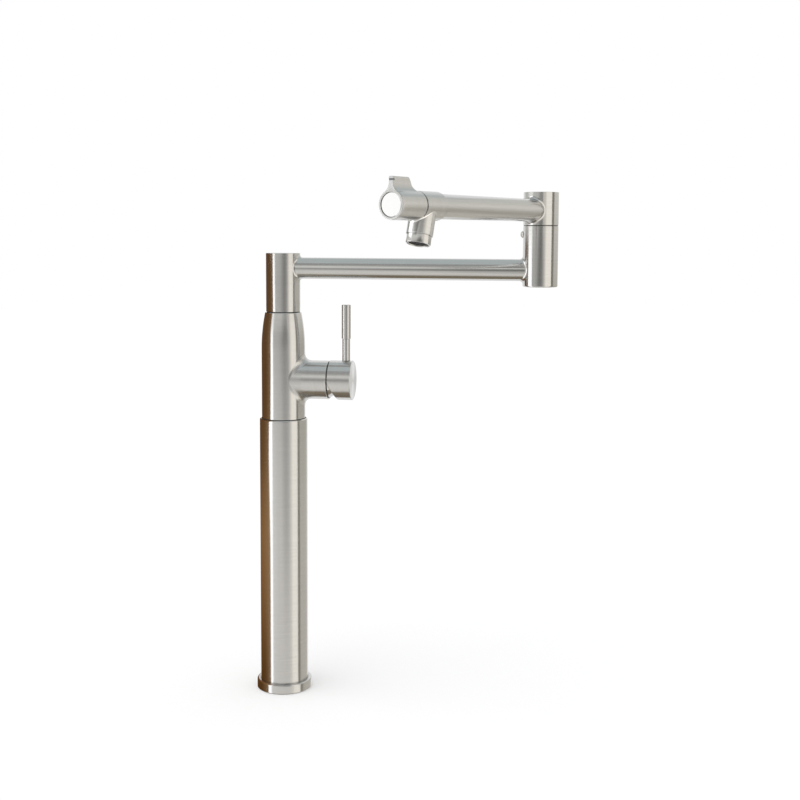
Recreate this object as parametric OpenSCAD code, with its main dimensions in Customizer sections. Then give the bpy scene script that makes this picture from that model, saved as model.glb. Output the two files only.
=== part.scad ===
// Deck-mounted pillar mixer tap with a folding two-part spout.
// Origin: column axis on the deck plane. +Z up, +X along the lower arm. Millimetres.

/* [Deck fixing] */
// Thickness of the worktop between the gasket and the rubber washer
worktop_t = 30; // [10:1:40]
// Outer diameter of the ring round the foot of the column
base_d = 58; // [56:1:70]
// Height of the ring's top above the deck
base_h = 10; // [9:0.5:16]
// Thickness of the gasket under the foot
gasket_t = 2; // [1.5:0.5:3]
// Outer diameter of the threaded shank
shank_d = 33; // [32:0.5:34]
// Bore of the threaded shank
shank_bore_d = 25.5; // [25.2:0.1:27]
// Length of the shank below the deck
shank_drop = 78; // [76:1:110]
// Outer diameter of the washers under the worktop
washer_d = 58; // [56:1:66]
// Thickness of the rubber washer
rubber_t = 3; // [2:0.5:5]
// Thickness of the steel washer
plate_t = 2.5; // [1.5:0.25:4]
// Height of the clamp nut
nut_h = 12; // [10:0.5:14]
// Gap between the steel washer and the nut, taken up by the jacking screws
nut_gap = 6; // [3:0.5:8]
// Thread diameter of the two jacking screws
jack_d = 6; // [5:0.5:6]

/* [Column] */
// Outer diameter of the column
column_d = 50; // [48:0.5:54]
// Wall of the column tube
column_wall = 2; // [1.5:0.25:2.5]
// Height of the column's top edge above the deck
column_h = 290; // [160:0.2:340]
// Radius on the column's top edge
column_round = 1.5; // [0.5:0.25:1.5]
// Depth of the foot plug inside the column
foot_h = 20; // [16:1:30]
// Depth that the mixer body goes into the column
body_seat = 15; // [12:1:20]
// Thickness of the ring that carries the mixer body
head_t = 12; // [8:1:16]

/* [Feed pipes] */
// Outer diameter of the hot and cold feed pipes
pipe_d = 10; // [9:0.5:10]
// Wall of the feed pipes
pipe_wall = 1; // [0.8:0.1:1.4]
// Distance between the two feed pipes
pipe_pitch = 14; // [13.6:0.2:14.6]
// Length of the feed pipes below the deck
pipe_drop = 110; // [105:1:180]

/* [Mixer body] */
// Height of the mixer body above the column
body_h = 111.1; // [106:0.1:130]
// Height of the taper at the body's top
flare_h = 37.5; // [30:0.5:42]
// Diameter of the body at its top edge
body_top_d = 38; // [37.4:0.2:40]
// Outer diameter of the side branch
branch_d = 40.6; // [40.2:0.2:42]
// Height of the branch axis above the column
branch_rise = 41; // [36:0.5:44]
// Distance from the column axis to the branch's end
branch_reach = 49; // [48:0.5:54]

/* [Mixing cartridge] */
// Outer diameter of the cartridge
cartridge_d = 34.8; // [34:0.1:35]
// Distance from the cartridge's seat to the branch's end
cartridge_depth = 36; // [35.8:0.1:37]
// Distance that the tilt pivot lies inside the branch's end
pivot_inset = 7; // [6.6:0.1:7.4]
// Distance from the tilt pivot to the stem's ball
stem_arm = 13; // [12.6:0.1:13.2]
// Diameter of the lever stem
stem_d = 8; // [7:0.2:8]
// Thickness of the ceramic discs
disc_t = 3.5; // [3:0.1:3.6]
// Angle that the lever tilts from shut to full flow
lever_tilt = 25; // [20:1:26]

/* [Lever] */
// Outer diameter of the hub
hub_d = 41.4; // [41.2:0.2:43]
// Wall of the hub
hub_wall = 1.9; // [1.5:0.1:1.9]
// Distance from the column axis to the hub's flat face
hub_reach = 74; // [73:0.5:80]
// Gap between the branch and the hub
hub_gap = 1.1; // [0.8:0.1:1.5]
// Distance from the hub's flat face back to the rod's axis
rod_inset = 7.2; // [7:0.1:8]
// Diameter of the rod's grip
grip_d = 9.5; // [9:0.1:12]
// Length of the rod's grip
grip_l = 35; // [25:1:60]
// Diameter of the rod's slimmer neck
neck_d = 8.2; // [7.4:0.1:9]
// Length of the rod's slimmer neck
neck_l = 23; // [10:0.5:34]

/* [Column pivot and elbow] */
// Outer diameter of the sleeve on the column pivot
sleeve_d = 35.6; // [35:0.1:37]
// Height of the sleeve
sleeve_h = 61.5; // [60:0.1:66]
// Height of the lower arm's axis above the seam under the sleeve
arm_rise = 46; // [43:0.1:47]
// Outer diameter of the elbow
elbow_d = 35.3; // [35:0.1:37]
// Height of the elbow's lower half
elbow_h = 61.7; // [60:0.1:66]
// Height of the elbow's seam above the lower arm's axis
elbow_rise = 44.9; // [43:0.1:47]
// Height of the elbow's upper half
elbow_head_h = 33; // [30:0.1:38]
// Height of the upper arm's axis above the elbow's seam
head_rise = 14.7; // [14:0.1:17]
// Bore of the sleeve and of the elbow
swivel_bore_d = 30; // [29.4:0.1:30.2]
// Diameter of the spigots' journals
journal_d = 24; // [23:0.2:24.4]
// Gap at each turning seam
seam = 0.5; // [0.3:0.1:1]

/* [Arms] */
// Outer diameter of both arm tubes
arm_d = 22.2; // [20:0.1:22.6]
// Wall of both arm tubes
arm_wall = 1.5; // [1:0.1:2]
// Distance from the column axis to the elbow axis
lower_reach = 265.7; // [180:0.1:340]
// Angle of the upper arm from lying back over the lower arm
fold_angle = 63.2; // [0:0.1:180]

/* [Outlet valve] */
// Distance from the elbow axis to the handle's front face
upper_reach = 258; // [200:1:330]
// Outer diameter of the valve body
valve_d = 25.5; // [25:0.1:27]
// Length of the valve body
valve_l = 32.5; // [32:0.1:40]
// Distance from the handle's seam back to the outlet's axis
outlet_inset = 11.5; // [11:0.1:12]
// Length of the shoulder where the tube enters the valve body
shoulder_r = 6; // [4:0.5:8]
// Outer diameter of the outlet
outlet_d = 23.5; // [23:0.1:24.4]
// Length of the outlet below the arm's axis
outlet_l = 26.5; // [25:0.5:34]
// Forward lean of the outlet
outlet_tilt = 15; // [5:1:18]
// Outer diameter of the aerator housing
aerator_d = 21.8; // [21.4:0.1:22.4]
// Length of the aerator housing below the outlet
aerator_l = 7.8; // [6:0.2:10]

/* [Outlet handle] */
// Outer diameter of the handle
handle_d = 25.6; // [25:0.1:27]
// Length of the handle
handle_l = 37; // [35:0.5:44]
// Height of the thumb lug above the arm's axis
lug_h = 24; // [18:0.5:28]
// Thickness of the thumb lug
lug_t = 5; // [4:0.25:6]
// Length of the thumb lug at its top
lug_l = 23; // [16:0.5:24]
// Radius where the thumb lug flows into the handle
lug_blend = 10; // [6:0.5:11]

/* [Hidden] */

$fn = 96;
// Cuts run past the faces that they open by this much
over = 1;
// Radial gap between pieces that are screwed, brazed or pushed together
snug = 0.05;
// Radial gap of a running fit
running = 0.05;
// Small chamfer on turned edges
edge = 0.4;

// Radii that follow from the diameters above
base_r = base_d / 2;
shank_r = shank_d / 2;
shank_bore_r = shank_bore_d / 2;
washer_r = washer_d / 2;
column_r = column_d / 2;
column_ri = column_r - column_wall;
pipe_r = pipe_d / 2;
body_r = column_ri - 0.25;
body_top_r = body_top_d / 2;
branch_r = branch_d / 2;
hub_r = hub_d / 2;
sleeve_r = sleeve_d / 2;
elbow_r = elbow_d / 2;
swivel_r = swivel_bore_d / 2;
journal_r = journal_d / 2;
arm_r = arm_d / 2;
arm_ri = arm_r - arm_wall;
valve_r = valve_d / 2;
outlet_r = outlet_d / 2;
aerator_r = aerator_d / 2;
handle_r = handle_d / 2;
stem_r = stem_d / 2;

// Deck fixing, from the deck down
lip = 0.5;
gasket_r = base_r - 2.2;
rubber_z = -worktop_t - rubber_t;
plate_z = rubber_z - plate_t;
nut_z = plate_z - nut_gap - nut_h;
jack_r = jack_d / 2;
jack_pcd = shank_r + washer_r - 0.5;
jack_head_h = 4;
foot_screw_r = 2;
foot_screw_z = gasket_t + 4;
foot_screw_l = 3.2;

// Heights
head_z = column_h - body_seat - head_t;
body_z = column_h - body_seat;
body_top = column_h + body_h;
branch_z = column_h + branch_rise;
arm_z = body_top + arm_rise;
elbow_z = arm_z + elbow_rise;
upper_z = elbow_z + head_rise;
sleeve_cap_t = 3.5;
elbow_floor_t = 3.1;

// Rolled marks on the feed pipes and the thread relief near the shank's free end
coupling_l = 28;
mark_w = 1.6;
mark_deep = 0.3;
shank_end_l = 20;

// Mixer body
inlet_h = 12;
feed_r = 3;
body_screw_r = 2.5;
body_screw_x = 15.5;
body_screw_depth = 10;
thread_l = 11;
thread_r = journal_r;
seal_bar = 0.7;
seal_z = body_z + 4;
riser_x = -7;
riser_r = 4.5;

// Mixing cartridge, along the branch
cart_r = cartridge_d / 2;
seat_x = branch_reach - cartridge_depth;
pivot_x = branch_reach - pivot_inset;
seal_t = 1;
ball_x = pivot_x - stem_arm;
ball_r = 2.5;
fixed_x = ball_x - ball_r - 0.5 - 2 * disc_t;
moving_x = fixed_x + disc_t + 0.03;
driver_x = moving_x + disc_t;
carrier_x = ball_x + 1.2;
tongue_x = carrier_x + 2.8;
case_top_x = branch_reach - 10;
flange_x = case_top_x - 3;
case_wall = 1.4;
case_ri = cart_r - case_wall;
collar_r = 11.2;
nut_r = cart_r + 1.1;
nut_ri = 15;
port_y = 5.5;
port_up = 4.5;
port_down = 6;
port_in_r = 2.6;
port_out_r = 3;
ball_travel = stem_arm * sin(lever_tilt);
disc_shift = ball_travel / 2;
moving_r = case_ri - disc_shift - 0.4;
tongue_w = 11.6;
tongue_half = 8;
stem_waist_r = 2.2;
stem_body_r = 3.4;
pin_r = 1.25;
cover_bore_r = 13.2;
cover_r = sqrt(pow(hub_gap + pivot_inset, 2) + pow(hub_r - hub_wall, 2)) - 0.4;

// Lever
hub_x = branch_reach + hub_gap;
hub_floor = 3;
rod_x = hub_reach - rod_inset;
boss_r = 7;
boss_x = rod_x - 3.8;
stem_end_x = hub_reach - hub_floor - 1;
post_r = 5;
rod_thread_r = 3;
set_screw_r = 2.5;
set_screw_l = 6;

// Swivel joints, measured from the seam
collar_t = 2.4;
bush_s = collar_t + 0.2;
bush_l = 4.4;
groove_s = bush_s + bush_l + 0.2;
groove_w = 3.8;
screw_s = groove_s + groove_w / 2;
land_s = groove_s + groove_w;
ring_floor_r = 12.2;
ring_bar = (swivel_r - ring_floor_r) / 2 - 0.08;
ring_r = (swivel_r + ring_floor_r) / 2 + 0.03;
ring_w = 2 * ring_bar + 0.5;
ring1_s = land_s + 1.6;
ring2_s = ring1_s + ring_w + 2;
land_end_s = ring2_s + ring_w + 1.8;
end_bush_l = 5.6;
spigot_bore_r = 7;
spigot_hole_r = 3.5;
waist_r = journal_r - 1.5;
land_r = swivel_r - 0.4;
swivel_screw_r = 2;
swivel_head_r = 3.75;
swivel_head_h = 2.5;

// Upper arm, measured along it from the elbow axis
seam_t = upper_reach - handle_l - seam;
valve_t = seam_t - valve_l;
outlet_t = seam_t - outlet_inset;
chamber_r = 10;
chamber_t = seam_t - 23;
cage_thread_t = seam_t - 7.5;
valve_disc_t = 2.5;
valve_seal_t = 1.5;
valve_fixed_t = chamber_t + valve_seal_t;
valve_moving_t = valve_fixed_t + valve_disc_t + 0.03;
fork_t = valve_moving_t + valve_disc_t + 0.05;
fork_l = 2.6;
cage_ri = 9;
cage_floor_t = fork_t + fork_l + 0.2;
neck_r = 7.5;
neck_t = seam_t + 9;
spindle_r = 4;
handle_t = seam_t + seam;
boss_t = handle_t + 12;
boss_l = 10;
spindle_end_t = boss_t + boss_l - 1;
cap_r = handle_r - 2.2;
cap_l = 3.6;
outlet_bore_r = 8.6;
outlet_thread_r = 10.2;
outlet_thread_l = 7;

// Points on an arc
function arc(cx, cy, r, a0, a1, n = 8) =
  [for (i = [0:n]) [cx + r * cos(a0 + (a1 - a0) * i / n), cy + r * sin(a0 + (a1 - a0) * i / n)]];

// Round bar along Z, X or Y between two places
module bar_z(r, z0, z1) {
  translate([0, 0, z0]) cylinder(r = r, h = z1 - z0);
}

module bar_x(r, x0, x1) {
  translate([x0, 0, 0]) rotate([0, 90, 0]) cylinder(r = r, h = x1 - x0);
}

module bar_y(r, y0, y1) {
  translate([0, y1, 0]) rotate([90, 0, 0]) cylinder(r = r, h = y1 - y0);
}

// Plain rings along Z and X
module ring_z(outer, inner, z0, z1) {
  difference() {
    bar_z(outer, z0, z1);
    bar_z(inner, z0 - over, z1 + over);
  }
}

module ring_x(outer, inner, x0, x1) {
  difference() {
    bar_x(outer, x0, x1);
    bar_x(inner, x0 - over, x1 + over);
  }
}

// Turned solid along X from a [radius, x] outline
module turned_x(points) {
  rotate([0, 90, 0]) rotate_extrude() polygon(points);
}

// O-ring round Z
module o_ring(r, bar, z) {
  translate([0, 0, z]) rotate_extrude() translate([r, 0]) circle(r = bar, $fn = 48);
}

// Hexagon socket, cut down from z
module hex_socket(across, depth) {
  translate([0, 0, -depth]) cylinder(r = across / sqrt(3), h = depth + over, $fn = 6);
}

// Frames of the branch, the upper arm and the outlet
module at_branch() {
  translate([0, 0, branch_z]) children();
}

module at_upper() {
  translate([lower_reach, 0, upper_z]) rotate([0, 0, 180 + fold_angle]) children();
}

module at_outlet() {
  at_upper() translate([outlet_t, 0, 0]) rotate([0, 180 - outlet_tilt, 0]) children();
}

// Flat rubber gasket between the foot and the deck
module deck_gasket() {
  color("dimgray") ring_z(gasket_r, shank_r + 1, 0, gasket_t);
}

// Ring that covers the foot of the column and the gasket's edge
module base_ring() {
  inner = column_r + snug;
  outline = concat(
    [[inner, gasket_t], [gasket_r + 0.2, gasket_t], [gasket_r + 0.2, lip], [base_r - edge, lip],
     [base_r, lip + edge]],
    arc(base_r - 1.5, base_h - 1.5, 1.5, 0, 90, 6),
    [[inner + edge, base_h], [inner, base_h - edge]]
  );
  color("silver") rotate_extrude() polygon(outline);
}

// Plug in the column's foot, threaded for the shank
module column_foot() {
  color("gray") difference() {
    bar_z(column_ri - snug, gasket_t, gasket_t + foot_h);
    bar_z(shank_r + snug, gasket_t - over, gasket_t + foot_h + over);
    foot_screw_holes(foot_screw_r + snug, column_r);
  }
}

// Radial holes for the foot's grub screws
module foot_screw_holes(r, reach) {
  for (i = [0:2]) {
    translate([0, 0, foot_screw_z]) rotate([0, 0, 90 + 120 * i]) bar_x(r, shank_r, reach + over);
  }
}

// Grub screws through the column wall into the foot, behind the base ring
module foot_grub_screws() {
  start = column_r - 0.2 - foot_screw_l;
  for (i = [0:2]) {
    color("dimgray") translate([0, 0, foot_screw_z]) rotate([0, 0, 90 + 120 * i]) difference() {
      bar_x(foot_screw_r, start, start + foot_screw_l);
      translate([start + foot_screw_l, 0, 0]) rotate([0, 90, 0]) hex_socket(2, 1.6);
    }
  }
}

// Hollow threaded shank that goes down through the worktop
module threaded_shank() {
  top = gasket_t + foot_h - 2;
  relief = -shank_drop + shank_end_l;
  outline = [
    [shank_bore_r, -shank_drop], [shank_r - 1, -shank_drop], [shank_r, -shank_drop + 1],
    [shank_r, relief], [shank_r - mark_deep, relief], [shank_r - mark_deep, relief + mark_w],
    [shank_r, relief + mark_w], [shank_r, top - 1], [shank_r - 1, top], [shank_bore_r, top]
  ];
  color("darkgoldenrod") rotate_extrude() polygon(outline);
}

// Rubber washer pressed against the worktop from below
module worktop_washer() {
  color("dimgray") ring_z(washer_r, shank_r + 0.4, rubber_z, -worktop_t);
}

// Steel washer that spreads the load of the jacking screws
module clamp_washer() {
  color("lightsteelblue") ring_z(washer_r, shank_r + 0.4, plate_z, rubber_z);
}

// Round nut on the shank with two tapped holes and spanner flats
module clamp_nut() {
  flat = washer_r * 0.94;
  color("darkgoldenrod") difference() {
    intersection() {
      bar_z(washer_r, nut_z, nut_z + nut_h);
      translate([-flat, -washer_r, nut_z - over]) cube([2 * flat, 2 * washer_r, nut_h + 2 * over]);
    }
    bar_z(shank_r + snug, nut_z - over, nut_z + nut_h + over);
    for (side = [-1, 1]) {
      translate([0, side * jack_pcd / 2, 0]) bar_z(jack_r + snug, nut_z - over, nut_z + nut_h + over);
    }
  }
}

// Two screws through the nut that press the steel washer up
module jacking_screws() {
  head_z = nut_z - jack_head_h - 1;
  for (side = [-1, 1]) {
    color("gray") translate([0, side * jack_pcd / 2, 0]) difference() {
      union() {
        bar_z(jack_r, head_z + jack_head_h, plate_z);
        translate([0, 0, head_z]) cylinder(r = jack_d / sqrt(3), h = jack_head_h, $fn = 6);
      }
      translate([-over, -jack_r, head_z - over]) cube([2 * over, jack_d, over + 1.2]);
    }
  }
}

// Column tube with a rounded top edge
module column_tube() {
  outline = concat(
    [[column_ri, gasket_t], [column_r - edge, gasket_t], [column_r, gasket_t + edge]],
    arc(column_r - column_round, column_h - column_round, column_round, 0, 90, 8),
    [[column_ri, column_h]]
  );
  color("silver") difference() {
    rotate_extrude() polygon(outline);
    foot_screw_holes(foot_screw_r + 0.15, column_r);
  }
}

// Ring brazed inside the column that carries the mixer body
module column_head() {
  color("gray") difference() {
    bar_z(column_ri - snug, head_z, body_z);
    for (side = [-1, 1]) {
      translate([0, side * pipe_pitch / 2, 0]) bar_z(pipe_r + 0.4, head_z - over, body_z + over);
      translate([side * body_screw_x, 0, 0]) bar_z(body_screw_r + 0.2, head_z - over, body_z + over);
    }
  }
}

// Two cap screws that pull the mixer body onto the column head
module body_screws() {
  head_h = 5;
  head_r = 4.2;
  for (side = [-1, 1]) {
    color("dimgray") translate([side * body_screw_x, 0, 0]) difference() {
      union() {
        bar_z(body_screw_r - snug, head_z, body_z + body_screw_depth - 1);
        bar_z(head_r, head_z - head_h, head_z);
      }
      translate([0, 0, head_z - head_h]) rotate([180, 0, 0]) hex_socket(4, 2.6);
    }
  }
}

// Straight feed pipe from the mixer body down through the column and shank, with a rolled groove
// above the free end that marks how far a coupling goes on
module feed_pipe(side) {
  mark_z = -pipe_drop + coupling_l;
  translate([0, side * pipe_pitch / 2, 0]) difference() {
    ring_z(pipe_r, pipe_r - pipe_wall, -pipe_drop, body_z + inlet_h);
    ring_z(pipe_r + over, pipe_r - mark_deep, mark_z, mark_z + mark_w);
  }
}

module hot_feed_pipe() {
  color("peru") feed_pipe(-1);
}

module cold_feed_pipe() {
  color("peru") feed_pipe(1);
}

// O-rings that seal the feed pipes in the mixer body
module feed_pipe_seals() {
  for (side = [-1, 1]) {
    color("dimgray") translate([0, side * pipe_pitch / 2, 0])
      o_ring(pipe_r + snug + seal_bar, seal_bar, seal_z);
  }
}

// Outline of the mixer body: straight foot and barrel, then a long taper to the pivot seam
function body_outline() =
  let (
    drop = body_r - body_top_r,
    big_r = (flare_h * flare_h + drop * drop) / (2 * drop),
    start = body_top - edge - flare_h,
    end = asin(flare_h / big_r)
  )
  concat(
    [[0, body_z], [body_r - edge, body_z], [body_r, body_z + edge]],
    arc(body_r - big_r, start, big_r, 0, end, 12),
    [[body_top_r - edge, body_top], [0, body_top]]
  );

// Mixer body with its side branch, ports and cartridge chamber
module mixer_body() {
  color("silver") difference() {
    union() {
      rotate_extrude() polygon(body_outline());
      at_branch() turned_x([
        [0, 0], [branch_r, 0], [branch_r, branch_reach - edge], [branch_r - edge, branch_reach],
        [0, branch_reach]
      ]);
    }
    body_inlets();
    body_waterways();
    at_branch() bar_x(cart_r + snug, seat_x, branch_reach + over);
    at_branch() bar_x(nut_r + snug, case_top_x - 0.5, branch_reach + over);
    bar_z(thread_r + snug, body_top - thread_l, body_top + over);
  }
}

// Sockets of the feed pipes, their seal grooves and the two threaded holes in the body's foot
module body_inlets() {
  for (side = [-1, 1]) {
    translate([0, side * pipe_pitch / 2, 0]) {
      bar_z(pipe_r + snug, body_z - over, body_z + inlet_h);
      bar_z(pipe_r + 2 * seal_bar + 2 * snug, seal_z - seal_bar - 0.2, seal_z + seal_bar + 0.2);
      bar_z(feed_r, body_z + inlet_h - over, branch_z + port_up);
    }
    translate([side * body_screw_x, 0, 0])
      bar_z(body_screw_r, body_z - over, body_z + body_screw_depth);
  }
}

// Waterways from the feed pipes to the cartridge seat, and from the seat up to the spigot
module body_waterways() {
  for (side = [-1, 1]) {
    translate([0, side * port_y, branch_z + port_up]) bar_x(port_in_r, 0, seat_x + over);
  }
  translate([0, 0, branch_z - port_down]) bar_x(port_out_r, riser_x, seat_x + over);
  translate([riser_x, 0, 0])
    bar_z(riser_r, branch_z - port_down - port_out_r, body_top - thread_l + over);
}

// Three ports through the cartridge's seat pieces
module ports(x0, x1, grow) {
  for (side = [-1, 1]) {
    translate([0, side * port_y, port_up]) bar_x(port_in_r + grow, x0, x1);
  }
  translate([0, 0, -port_down]) bar_x(port_out_r + grow, x0, x1);
}

// Rubber seal between the mixer body and the cartridge
module cartridge_seal() {
  color("dimgray") at_branch() difference() {
    bar_x(cart_r - 1, seat_x, seat_x + seal_t);
    ports(seat_x - over, seat_x + seal_t + over, 0.3);
  }
}

// Bottom plate of the cartridge
module cartridge_base() {
  color("whitesmoke") at_branch() difference() {
    bar_x(cart_r, seat_x + seal_t, fixed_x);
    ports(seat_x, fixed_x + over, 0);
  }
}

// Ceramic disc that stays still, with the three ports
module fixed_disc() {
  color("linen") at_branch() difference() {
    bar_x(case_ri - snug, fixed_x, fixed_x + disc_t);
    ports(fixed_x - over, fixed_x + disc_t + over, 0);
  }
}

// Ceramic disc that slides and turns over the fixed one, with a mixing pocket in its face
module moving_disc() {
  color("linen") at_branch() translate([0, 0, -disc_shift]) difference() {
    bar_x(moving_r, moving_x, moving_x + disc_t);
    translate([0, 0, -2.5]) bar_x(6.5, moving_x - over, moving_x + disc_t * 0.5);
  }
}

// Carrier of the moving disc, with a tongue that slides in the rotating carrier
module disc_driver() {
  color("black") at_branch() difference() {
    union() {
      translate([0, 0, -disc_shift]) bar_x(moving_r, driver_x, carrier_x - 0.1);
      translate([carrier_x - over, -tongue_w / 2, -tongue_half])
        cube([tongue_x - carrier_x + over, tongue_w, 2 * tongue_half]);
    }
    bar_x(ball_r + 0.35, ball_x - ball_r - 0.1, tongue_x + over);
    translate([ball_x + 0.5, 0, 0]) rotate([0, 90, 0])
      cylinder(r1 = ball_r + 0.35, r2 = 5.4, h = tongue_x - ball_x - 0.5 + 0.01);
  }
}

// Carrier that turns with the lever's sideways swing and holds the stem's pin
module cartridge_carrier() {
  collar_x = branch_reach + 1;
  lean = tan(lever_tilt);
  slot_low = (collar_x - pivot_x) * lean + stem_body_r / cos(lever_tilt) + 0.6;
  slot_high = (pivot_x - tongue_x) * lean + stem_waist_r / cos(lever_tilt) + 0.6;
  color("dimgray") at_branch() difference() {
    union() {
      bar_x(case_ri - 0.15, carrier_x, flange_x - 0.1);
      bar_x(collar_r - 0.1, flange_x - over, collar_x);
    }
    translate([carrier_x - over, -tongue_w / 2 - 0.1, -tongue_half - 0.3])
      cube([tongue_x - carrier_x + over + 0.2, tongue_w + 0.2, 2 * tongue_half + ball_travel + 0.6]);
    translate([carrier_x - over, -stem_body_r - 0.2, -slot_low])
      cube([collar_x - carrier_x + 2 * over, 2 * stem_body_r + 0.4, slot_low + slot_high]);
    translate([pivot_x, 0, 0]) bar_y(pin_r + 0.01, -collar_r - over, collar_r + over);
  }
}

// Outer case of the cartridge
module cartridge_case() {
  color("whitesmoke") at_branch() difference() {
    bar_x(cart_r, fixed_x, case_top_x);
    bar_x(case_ri, fixed_x - over, flange_x);
    bar_x(collar_r, flange_x - over, case_top_x + over);
  }
}

// Threaded ring that holds the cartridge in the branch
module cartridge_nut() {
  slot_w = 3;
  color("darkgoldenrod") at_branch() difference() {
    ring_x(nut_r, nut_ri, case_top_x, branch_reach - 0.4);
    for (i = [0:3]) {
      rotate([45 + 90 * i, 0, 0]) translate([branch_reach - 2.4, -slot_w / 2, 0])
        cube([2.4 + over, slot_w, nut_r + over]);
    }
  }
}

// Domed cover between the branch and the hub, round the tilt pivot
module cartridge_cover() {
  back = branch_reach - 6;
  color("silver") at_branch() turned_x(concat(
    [[cover_bore_r, back], [nut_ri - snug, back], [nut_ri - snug, branch_reach]],
    arc(0, pivot_x, cover_r, asin(pivot_inset / cover_r), acos(cover_bore_r / cover_r), 14)
  ));
}

// Stem that the hub sits on, with a ball that drives the moving disc
module lever_stem() {
  color("lightgray") at_branch() difference() {
    union() {
      translate([ball_x, 0, 0]) sphere(r = ball_r);
      bar_x(stem_waist_r, ball_x, pivot_x - 4);
      bar_x(stem_body_r, pivot_x - 5, pivot_x + 11);
      bar_x(stem_r, pivot_x + 10.5, stem_end_x);
    }
    translate([pivot_x, 0, 0]) bar_y(pin_r + running, -stem_r - over, stem_r + over);
    translate([rod_x - 3, -stem_r, stem_r - 0.5]) cube([6, 2 * stem_r, over]);
  }
}

// Pin that the stem tilts on
module stem_pin() {
  color("gray") at_branch() translate([pivot_x, 0, 0]) bar_y(pin_r, -collar_r + 0.6, collar_r - 0.6);
}

// Hub: a cup over the dome, cut away below so that it can tilt
module lever_hub() {
  inner = hub_r - hub_wall;
  lean = tan(lever_tilt);
  color("silver") at_branch() difference() {
    union() {
      difference() {
        turned_x([
          [0, hub_x], [hub_r - edge, hub_x], [hub_r, hub_x + edge], [hub_r, hub_reach - edge],
          [hub_r - edge, hub_reach], [0, hub_reach]
        ]);
        bar_x(inner, hub_x - over, hub_reach - hub_floor);
      }
      bar_x(boss_r, boss_x, hub_reach - hub_floor + over);
      translate([rod_x, 0, 0]) bar_z(post_r, 0, inner + hub_wall / 2);
    }
    bar_x(stem_r + snug, boss_x - over, stem_end_x + 0.3);
    translate([rod_x, 0, 0]) bar_z(set_screw_r + snug, 0, hub_r + over);
    translate([rod_x, 0, 0]) bar_z(rod_thread_r + snug, set_screw_l + stem_r, hub_r + over);
    translate([rod_x, 0, hub_r - 1.6])
      cylinder(r1 = rod_thread_r, r2 = neck_d / 2 + 0.9, h = 1.6 + 0.3);
    rotate([90, 0, 0]) linear_extrude(height = 2 * hub_r + 2 * over, center = true) polygon([
      [hub_x - 2 * over, 0], [hub_x, 0], [hub_x + lean * (hub_r + over), -hub_r - over],
      [hub_x - 2 * over, -hub_r - over]
    ]);
  }
}

// Grub screw under the rod that locks the hub on the stem
module hub_set_screw() {
  color("dimgray") at_branch() translate([rod_x, 0, stem_r - 0.45]) difference() {
    cylinder(r = set_screw_r, h = set_screw_l);
    translate([0, 0, set_screw_l]) hex_socket(2.5, 2.2);
  }
}

// Lever rod: a grip and a slimmer neck, screwed into the hub
module lever_rod() {
  neck_z = hub_r - 1.2;
  tail_z = set_screw_l + stem_r + 0.6;
  grip_z = hub_r + neck_l;
  top_z = grip_z + grip_l;
  outline = [
    [0, tail_z], [rod_thread_r - edge, tail_z], [rod_thread_r, tail_z + edge], [rod_thread_r, neck_z],
    [neck_d / 2, neck_z + 1.4], [neck_d / 2, grip_z - 0.5], [grip_d / 2, grip_z],
    [grip_d / 2, top_z - edge], [grip_d / 2 - edge, top_z], [0, top_z]
  ];
  color("silver") at_branch() translate([rod_x, 0, 0]) rotate_extrude() polygon(outline);
}

// Hollow spigot of a swivel joint, standing on its seam, for a bore of the given depth
module spigot(depth) {
  end_s = depth - 1.2;
  tip_s = end_s - end_bush_l - 0.4;
  bore_s = tip_s - 2;
  hole_s = bore_s - spigot_hole_r - 1;
  outline = [
    [0, -thread_l + 0.2], [thread_r - edge, -thread_l + 0.2], [thread_r, -thread_l + 0.2 + edge],
    [thread_r, 0], [swivel_r - 0.8, 0], [swivel_r - 0.8, collar_t], [journal_r, collar_t],
    [journal_r, land_s], [land_r, land_s],
    [land_r, ring1_s], [ring_floor_r, ring1_s], [ring_floor_r, ring1_s + ring_w],
    [land_r, ring1_s + ring_w], [land_r, ring2_s], [ring_floor_r, ring2_s],
    [ring_floor_r, ring2_s + ring_w], [land_r, ring2_s + ring_w],
    [land_r, land_end_s], [waist_r, land_end_s + 2], [waist_r, tip_s - 0.6], [journal_r, tip_s],
    [journal_r, end_s - edge], [journal_r - edge, end_s], [0, end_s]
  ];
  difference() {
    rotate_extrude() polygon(outline);
    bar_z(spigot_bore_r, -thread_l - over, bore_s);
    translate([0, 0, hole_s]) {
      bar_x(spigot_hole_r, -waist_r - over, waist_r + over);
      bar_y(spigot_hole_r, -waist_r - over, waist_r + over);
    }
  }
}

// Split bush near the seam, and plain bush at the spigot's end
module seam_bush() {
  difference() {
    ring_z(swivel_r - snug, journal_r + running, bush_s, bush_s + bush_l);
    translate([0, -0.5, bush_s - over]) cube([swivel_r + over, 1, bush_l + 2 * over]);
  }
}

module end_bush(depth) {
  end_s = depth - 1.2;
  ring_z(swivel_r - snug, journal_r + running, end_s - end_bush_l, end_s - 0.2);
}

// Pair of O-rings on a spigot
module swivel_seals() {
  o_ring(ring_r, ring_bar, ring1_s + ring_w / 2);
  o_ring(ring_r, ring_bar, ring2_s + ring_w / 2);
}

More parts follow.
